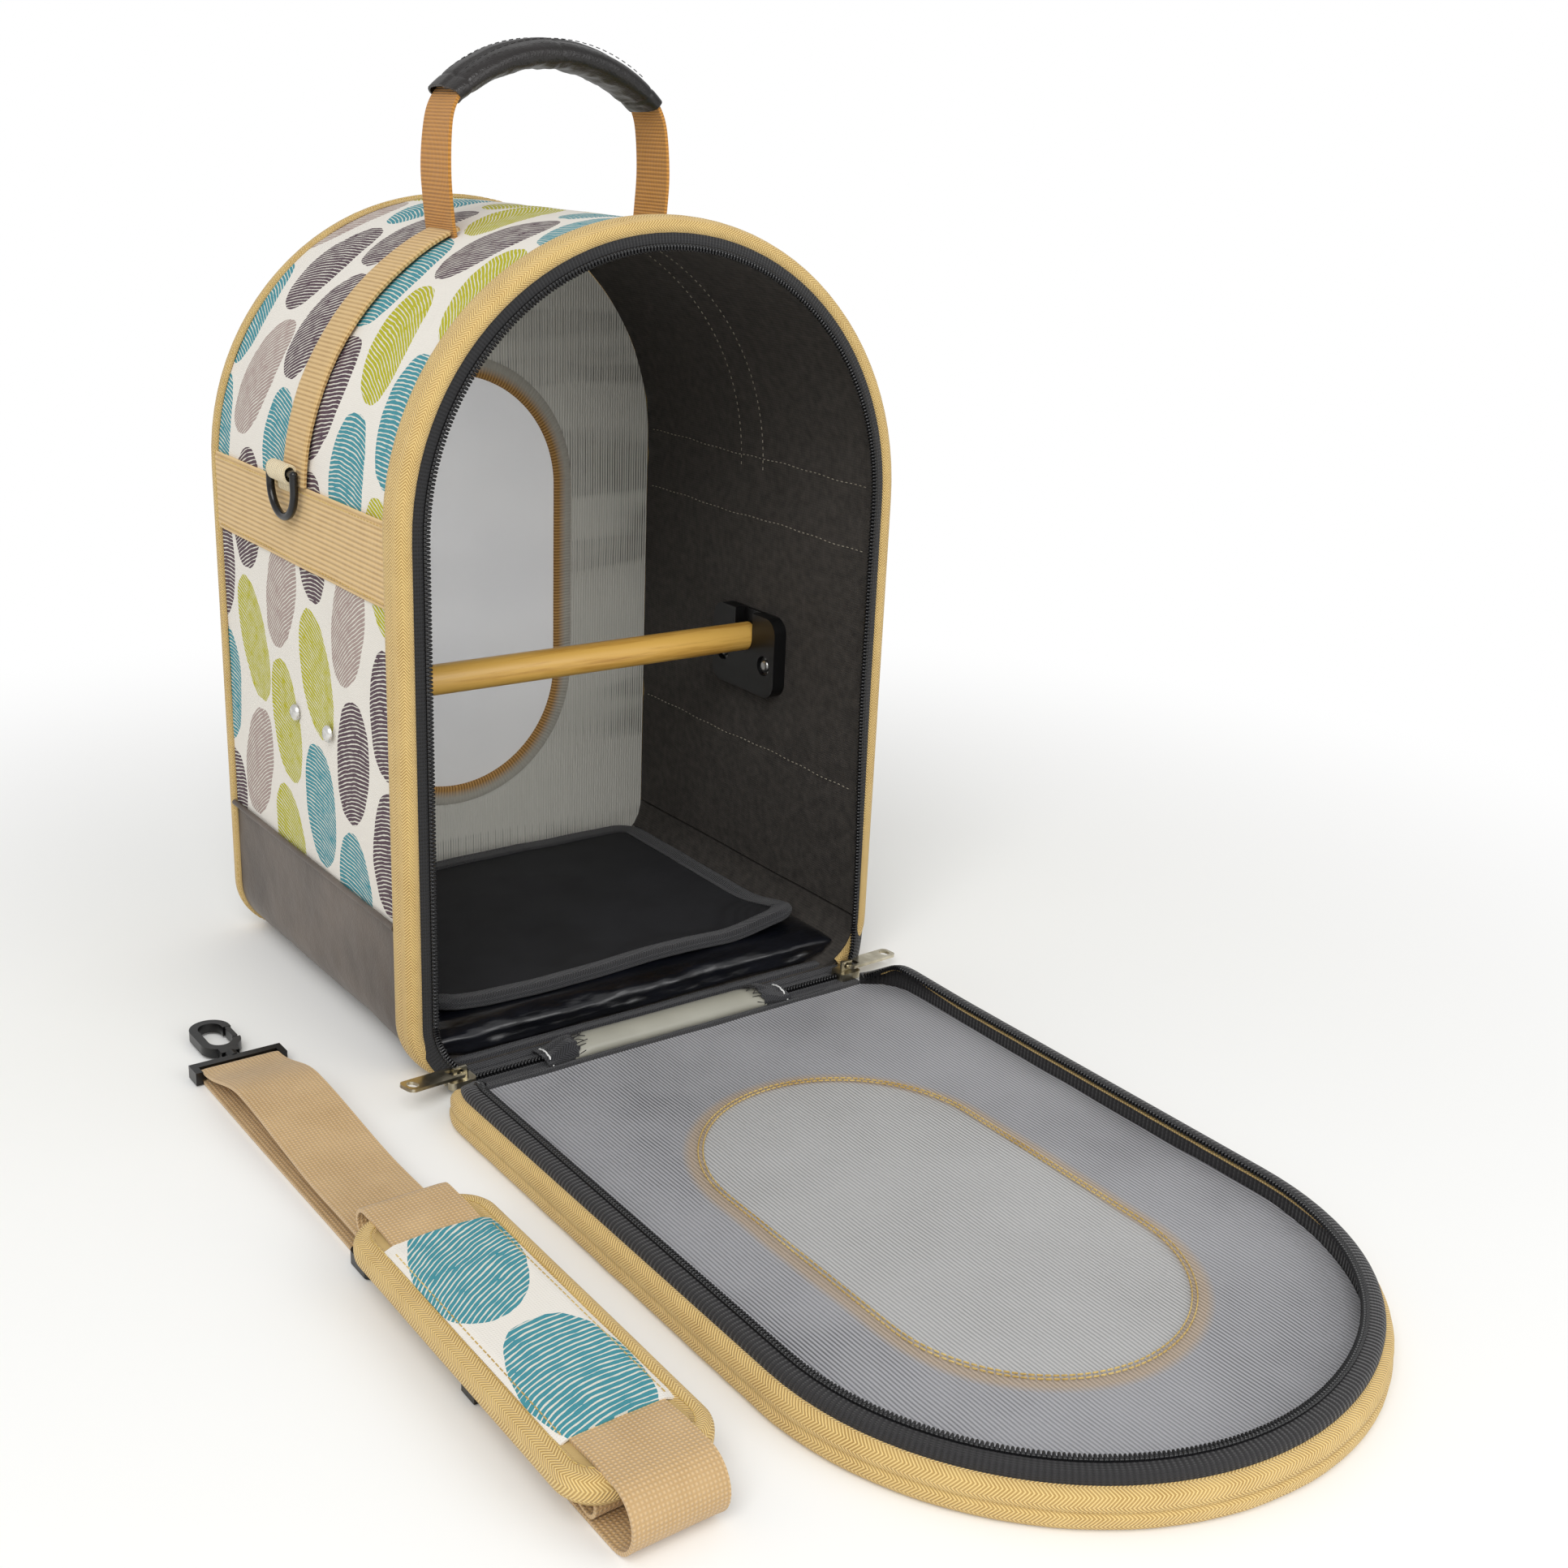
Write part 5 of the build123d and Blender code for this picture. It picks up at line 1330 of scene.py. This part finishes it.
def puffed(name, node, voxel_mm, pressure, cap_mm, still_mm):
    """Copy of a soft node blown up a little by cloth simulation, as filled fabric is."""
    pick_only(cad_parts[node])
    bpy.ops.object.duplicate()
    piece = lone(name)
    piece.parent = None
    piece.matrix_world = Matrix.Identity(4)
    for key in [k for k in piece.keys() if k.startswith("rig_")]:
        del piece[key]
    piece.hide_render = piece.hide_viewport = False
    edit_all(piece, lambda: bpy.ops.mesh.remove_doubles(threshold=0.00001))
    remesh = piece.modifiers.new("even", "REMESH")
    remesh.mode = "VOXEL"
    remesh.voxel_size = voxel_mm * MM
    apply_all(piece)
    rest = [vertex.co.copy() for vertex in piece.data.vertices]
    cloth = piece.modifiers.new("cloth", "CLOTH")
    cloth.settings.use_pressure = True
    cloth.settings.uniform_pressure_force = pressure
    cloth.settings.mass = 0.2
    cloth.settings.tension_stiffness = 12
    cloth.settings.compression_stiffness = 12
    cloth.settings.effector_weights.gravity = 0
    for frame_number in range(1, 21):
        bpy.context.scene.frame_set(frame_number)
    apply_all(piece)
    bpy.context.scene.frame_set(1)
    for vertex, start in zip(piece.data.vertices, rest):
        move = vertex.co - start
        if move.length > cap_mm * MM:
            move *= cap_mm * MM / move.length
        if start.z < still_mm * MM:
            move.z = max(move.z, 0)
        vertex.co = start + move
    return piece


TRAY_X, TRAY_FRONT, TRAY_BACK, TRAY_R = 114.0, -88.0, 96.0, 15.0
TRAY_MID, TRAY_HALF = (TRAY_FRONT + TRAY_BACK) / 2, (TRAY_BACK - TRAY_FRONT) / 2


def tray_height(x, y):
    """Height of the mat: nearly flat, with lifted front corners and a wavy front."""
    right = 8.0 * ease(x, 60, TRAY_X) * ease(-y, 35, -TRAY_FRONT)
    left = 2.0 * ease(-x, 80, TRAY_X) * ease(-y, 50, -TRAY_FRONT)
    front = 0.9 * ease(-y, 60, -TRAY_FRONT) * (1 + math.sin(x / 24 + 0.6))
    return 21.9 + 1.1 * rumple(x, y, 70, 3) + 0.35 * rumple(x, y, 22, 1) + right + left + front


def cushion_rule(x, y, z):
    """Folds and a welt along the front face; under the mat the cushion is pressed flat."""
    edge = ease(-y, 90, 105)
    folds = 2.2 * rumple(x * 0.35, z * 1.6 + y * 0.5, 8, 4) + 1.1 * rumple(x * 0.6, z * 2.4, 5, 2)
    welt = 1.6 * bell(z, 11.0, 1.3) * ease(-y, 98, 105)
    if abs(x) > TRAY_X or y < TRAY_FRONT - 2:
        up = z + (0.4 * folds + 0.8 * math.sin(x / 38)) * edge
    else:
        up = min(z, tray_height(x, y) - 3.5)
    return (x, y - 0.6 * folds * edge + welt, up)


cushion = puffed("satin_cushion", "floor_cushion", 5.0, 3.0, 2.0, 7.0)
cushion.modifiers.new("fine", "SUBSURF").levels = 1
apply_all(cushion)
move_points(cushion, cushion_rule)
dress(cushion, cushion_satin, stands_for=["floor_cushion"], angle=80)


def rounded_place(x, y, half_x, half_y, radius):
    """Moves a place in a square-cornered rectangle into one with round corners."""
    dx, dy = abs(x) - (half_x - radius), abs(y) - (half_y - radius)
    if dx <= 0 or dy <= 0:
        return x, y
    k = max(dx, dy) / math.hypot(dx, dy)
    return math.copysign(half_x - radius + dx * k, x), math.copysign(half_y - radius + dy * k, y)


def rounded_pad(name, half_x, half_y, radius, middle, height_rule, steps, across, thickness):
    """Level pad with round corners; height_rule gives its top."""
    piece = flat_strip(name, 2 * half_x, 2 * half_y, steps, across)

    def rule(x, y, z):
        px, py = rounded_place(x - half_x, y - half_y, half_x, half_y, radius)
        px, py = px + middle[0], py + middle[1]
        return (px, py, height_rule(px, py))

    move_points(piece, rule)
    thicken(piece, thickness)
    return piece


def rect_length(half_x, half_y, radius):
    return 4 * (half_x - radius) + 4 * (half_y - radius) + 2 * math.pi * radius


def rect_point(at, half_x, half_y, radius):
    """Place and outward direction at a length round a rounded rectangle, from the middle of its front side."""
    flat_x, flat_y, bend = half_x - radius, half_y - radius, radius * math.pi / 2
    around = rect_length(half_x, half_y, radius)
    side, at = (1, at) if at <= around / 2 else (-1, around - at)
    if at < flat_x:
        return (side * at, -half_y), (0, -1)
    at -= flat_x
    if at < bend:
        nx, ny = side * math.sin(at / radius), -math.cos(at / radius)
        return (side * flat_x + radius * nx, radius * ny - flat_y), (nx, ny)
    at -= bend
    if at < 2 * flat_y:
        return (side * half_x, at - flat_y), (side, 0)
    at -= 2 * flat_y
    if at < bend:
        nx, ny = side * math.cos(at / radius), math.sin(at / radius)
        return (side * flat_x + radius * nx, radius * ny + flat_y), (nx, ny)
    return (side * (flat_x - at + bend), half_y), (0, 1)


def rect_band(name, half_x, half_y, radius, middle, section, width, height_rule, steps, across):
    """Binding folded round the edge of a rounded rectangle that lies level."""
    around = rect_length(half_x, half_y, radius)
    piece = flat_strip(name, around, width, steps, across)
    fold_strip(piece, width, section)

    def rule(x, y, z):
        (px, py), (nx, ny) = rect_point(min(x, around - 0.0001), half_x, half_y, radius)
        base = height_rule(px + middle[0], py + middle[1])
        return (middle[0] + px + nx * y, middle[1] + py + ny * y, base + z)

    move_points(piece, rule)
    close_ring(piece)
    thicken(piece, 0.9)
    return piece


mat = rounded_pad("tray_mat", TRAY_X - 2, TRAY_HALF - 2, TRAY_R - 2, (0, TRAY_MID), tray_height, 76, 62, 2.8)
dress(mat, tray_cloth, "tray", ["floor_tray"])
MAT_EDGE = [
    (-10.5, 0.5), (-9.0, 1.1), (-5.0, 1.4), (-0.5, 1.2), (1.2, 0.2),
    (1.5, -1.4), (0.6, -3.0), (-2.0, -3.6), (-7, -3.4),
]
mat_line = (TRAY_X - 1, TRAY_HALF - 1, TRAY_R, (0, TRAY_MID))
mat_edge = rect_band("tray_edge_binding", *mat_line, MAT_EDGE, 22, tray_height, 320, 18)
dress(mat_edge, mat_twill, "tray", ["tray_binding"])

# ---------------------------------------------------------------- shoulder strap

STRAP_X, WEB_W, WEB_T = -200.0, 38.0, 1.5


def half_turn(y, z0, z1, side):
    """Points of a half circle that goes from height z0 to z1 and bulges to that side."""
    mid, radius = (z0 + z1) / 2, (z1 - z0) / 2
    turns = [math.pi * k / 12 for k in range(13)]
    return [(y + side * abs(radius) * math.sin(a), mid - radius * math.cos(a)) for a in turns]


def eased(a, b, count=10):
    """Points of a soft S from a to b, level at both ends."""
    shares = [k / count for k in range(1, count + 1)]
    return [(a[0] + (b[0] - a[0]) * share, a[1] + (b[1] - a[1]) * ease(share, 0, 1)) for share in shares]


def even_line(points):
    """The same line with points an even 1.5 mm or so apart, and its whole length."""
    runs = [math.dist(a, b) for a, b in zip(points, points[1:])]
    total = sum(runs)
    count = int(total / 1.5)
    line, i, before = [], 0, 0.0
    for k in range(count + 1):
        at = total * k / count
        while i < len(runs) - 1 and before + runs[i] < at:
            before += runs[i]
            i += 1
        t = min((at - before) / max(runs[i], 1e-9), 1.0)
        line.append(tuple(p + (q - p) * t for p, q in zip(points[i], points[i + 1])))
    return line, total


# (y, z) points of the webbing from its lower end through the hook, the pad and the slide buckle
route = [(-250, 0.85), (-200, 0.85), (-120, 0.85), (-56, 0.95)]
route += half_turn(-56, 0.95, 6.25, 1)
route += eased((-56, 6.25), (-104, 16.5)) + eased((-104, 16.5), (-190, 10.9))
route += eased((-190, 10.9), (-222, 11.5), 4) + eased((-222, 11.5), (-267, 11.1), 4)
route += [(-387, 11.1)] + eased((-387, 11.1), (-413, 2.65))
route += half_turn(-413, 2.65, 13.05, -1) + half_turn(-238, 13.05, 25.85, 1)
route += eased((-253, 25.85), (-267, 24.95)) + [(-401, 24.95)] + eased((-401, 24.95), (-415, 25.85))
route += half_turn(-429, 25.85, 0.85, -1)
route += [(-380, 0.85), (-338, 0.95)] + half_turn(-338, 0.95, 6.25, 1) + [(-354, 6.25)]
web_line, web_run = even_line(route)


def web_rule(x, y, z):
    at = min(max(x / web_run, 0.0), 1.0) * (len(web_line) - 1)
    i = min(int(at), len(web_line) - 2)
    (y0, z0), (y1, z1) = web_line[i], web_line[i + 1]
    hem = 0.25 * ease(min(y, WEB_W - y), 1.2, 0)
    sway = 0.5 * rumple(x, 0, 90, 3)
    return (STRAP_X - WEB_W / 2 + y + sway, y0 + (y1 - y0) * (at - i), z0 + (z1 - z0) * (at - i) - hem)


strap = flat_strip("shoulder_webbing", web_run, WEB_W, len(web_line) - 1, 12)
move_points(strap, web_rule)
solid = strap.modifiers.new("thickness", "SOLIDIFY")
solid.thickness = WEB_T * MM
solid.offset = 0
apply_all(strap)
face_out(strap)
dress(strap, shoulder_weave, "strap", ["strap_webbing"], 60)
hook_parts = [f"{hook}_hook_{part}" for hook in ("open", "tucked") for part in ("eye", "body", "gate")]
paint(black_plastic, "slide_buckle", *hook_parts)

PAD_Y, PAD_HALF_W, PAD_HALF_L, PAD_R = -334.0, 30.5, 93.0, 16.0
PAD_MID = (STRAP_X, PAD_Y)


def pad_height(x, y):
    """Top of the pad: a low crown with a slight sag along its length."""
    across = (x - STRAP_X) / PAD_HALF_W
    return 23.6 + 0.5 * (1 - across**2) + 0.35 * rumple(x, y, 60, 2)


pad = rounded_pad("pad_filling", PAD_HALF_W - 1.5, PAD_HALF_L - 1.5, PAD_R - 1.5, PAD_MID, pad_height, 90, 30, 9.2)
face_out(pad)
dress(pad, pad_cloth, "strap", ["strap_pad"])
PAD_EDGE = [
    (-7.4, 0.1), (-5.6, 1.1), (-2.6, 1.3), (-0.2, 0.4), (1.2, -2.0),
    (1.2, -6.2), (0.2, -8.6), (-3.0, -9.7), (-6.5, -9.6),
]
pad_line = (PAD_HALF_W - 1.2, PAD_HALF_L - 1.2, PAD_R, PAD_MID)
pad_edge = rect_band("pad_edge_binding", *pad_line, PAD_EDGE, 24, pad_height, 300, 20)
dress(pad_edge, gold_twill, "strap", ["pad_binding"], 60)
seam_line = (PAD_HALF_W - 6.6, PAD_HALF_L - 6.6, PAD_R - 5)
pad_seam = row_of("pad_edge_stitches", STITCH, 3.1, 0, rect_length(*seam_line))


def pad_seam_rule(x, y, z):
    (px, py), (nx, ny) = rect_point(x, *seam_line)
    px, py = STRAP_X + px + nx * y, PAD_Y + py + ny * y
    return (px, py, pad_height(px, py) + 1.15 + z)


move_points(pad_seam, pad_seam_rule)
face_out(pad_seam)
dress(pad_seam, gold_thread, "strap")

COVER_L, COVER_HALF, COVER_SEAM = 135, 23.25, 20.8
PAD_PRINT_SCALE, PAD_PRINT_AT = 0.8, (5 * PEBBLE_STEP + 14, 241.4)
cover = flat_strip("pad_print_cover", COVER_L, 2 * COVER_HALF, 110, 40)
for spot in cover.data.uv_layers.active.data:
    # the panel is cut where two pebbles lie one after the other, from a larger repeat of the print
    spot.uv = [PAD_PRINT_SCALE * place + start * MM for place, start in zip(spot.uv, PAD_PRINT_AT)]


def cover_rule(x, y, z):
    across = y / COVER_HALF - 1
    lift = 26.2 - 1.5 * max(abs(across) - 0.83, 0) / 0.17 + 0.25 * rumple(x, y, 26, 4)
    slack = 0.5 * ease(-min(x, COVER_L - x), -7, 0) * math.cos(across * 3)
    return (STRAP_X + COVER_HALF - y, PAD_Y - COVER_L / 2 + x, lift + slack)


move_points(cover, cover_rule)
thicken(cover, 0.8)
face_out(cover)
dress(cover, canvas_pad, "strap", ["pad_cover"])
for side, hand in SIDES:
    seam = row_of(f"cover_stitches_{hand}", (2.2, 0.5, 0.4), 3.1, 0, 130)
    off = side * COVER_SEAM

    def cover_seam_rule(x, y, z):
        lift = 25.75 + 0.25 * rumple(x + 2.5, COVER_HALF - off, 26, 4)
        return (STRAP_X + off + y, PAD_Y - 65 + x, lift + z)

    move_points(seam, cover_seam_rule)
    dress(seam, gold_thread, "strap")

# ---------------------------------------------------------------- the end: the helper paths are removed

for helper in (arch_path, base_path):
    bpy.data.objects.remove(helper, do_unlink=True)
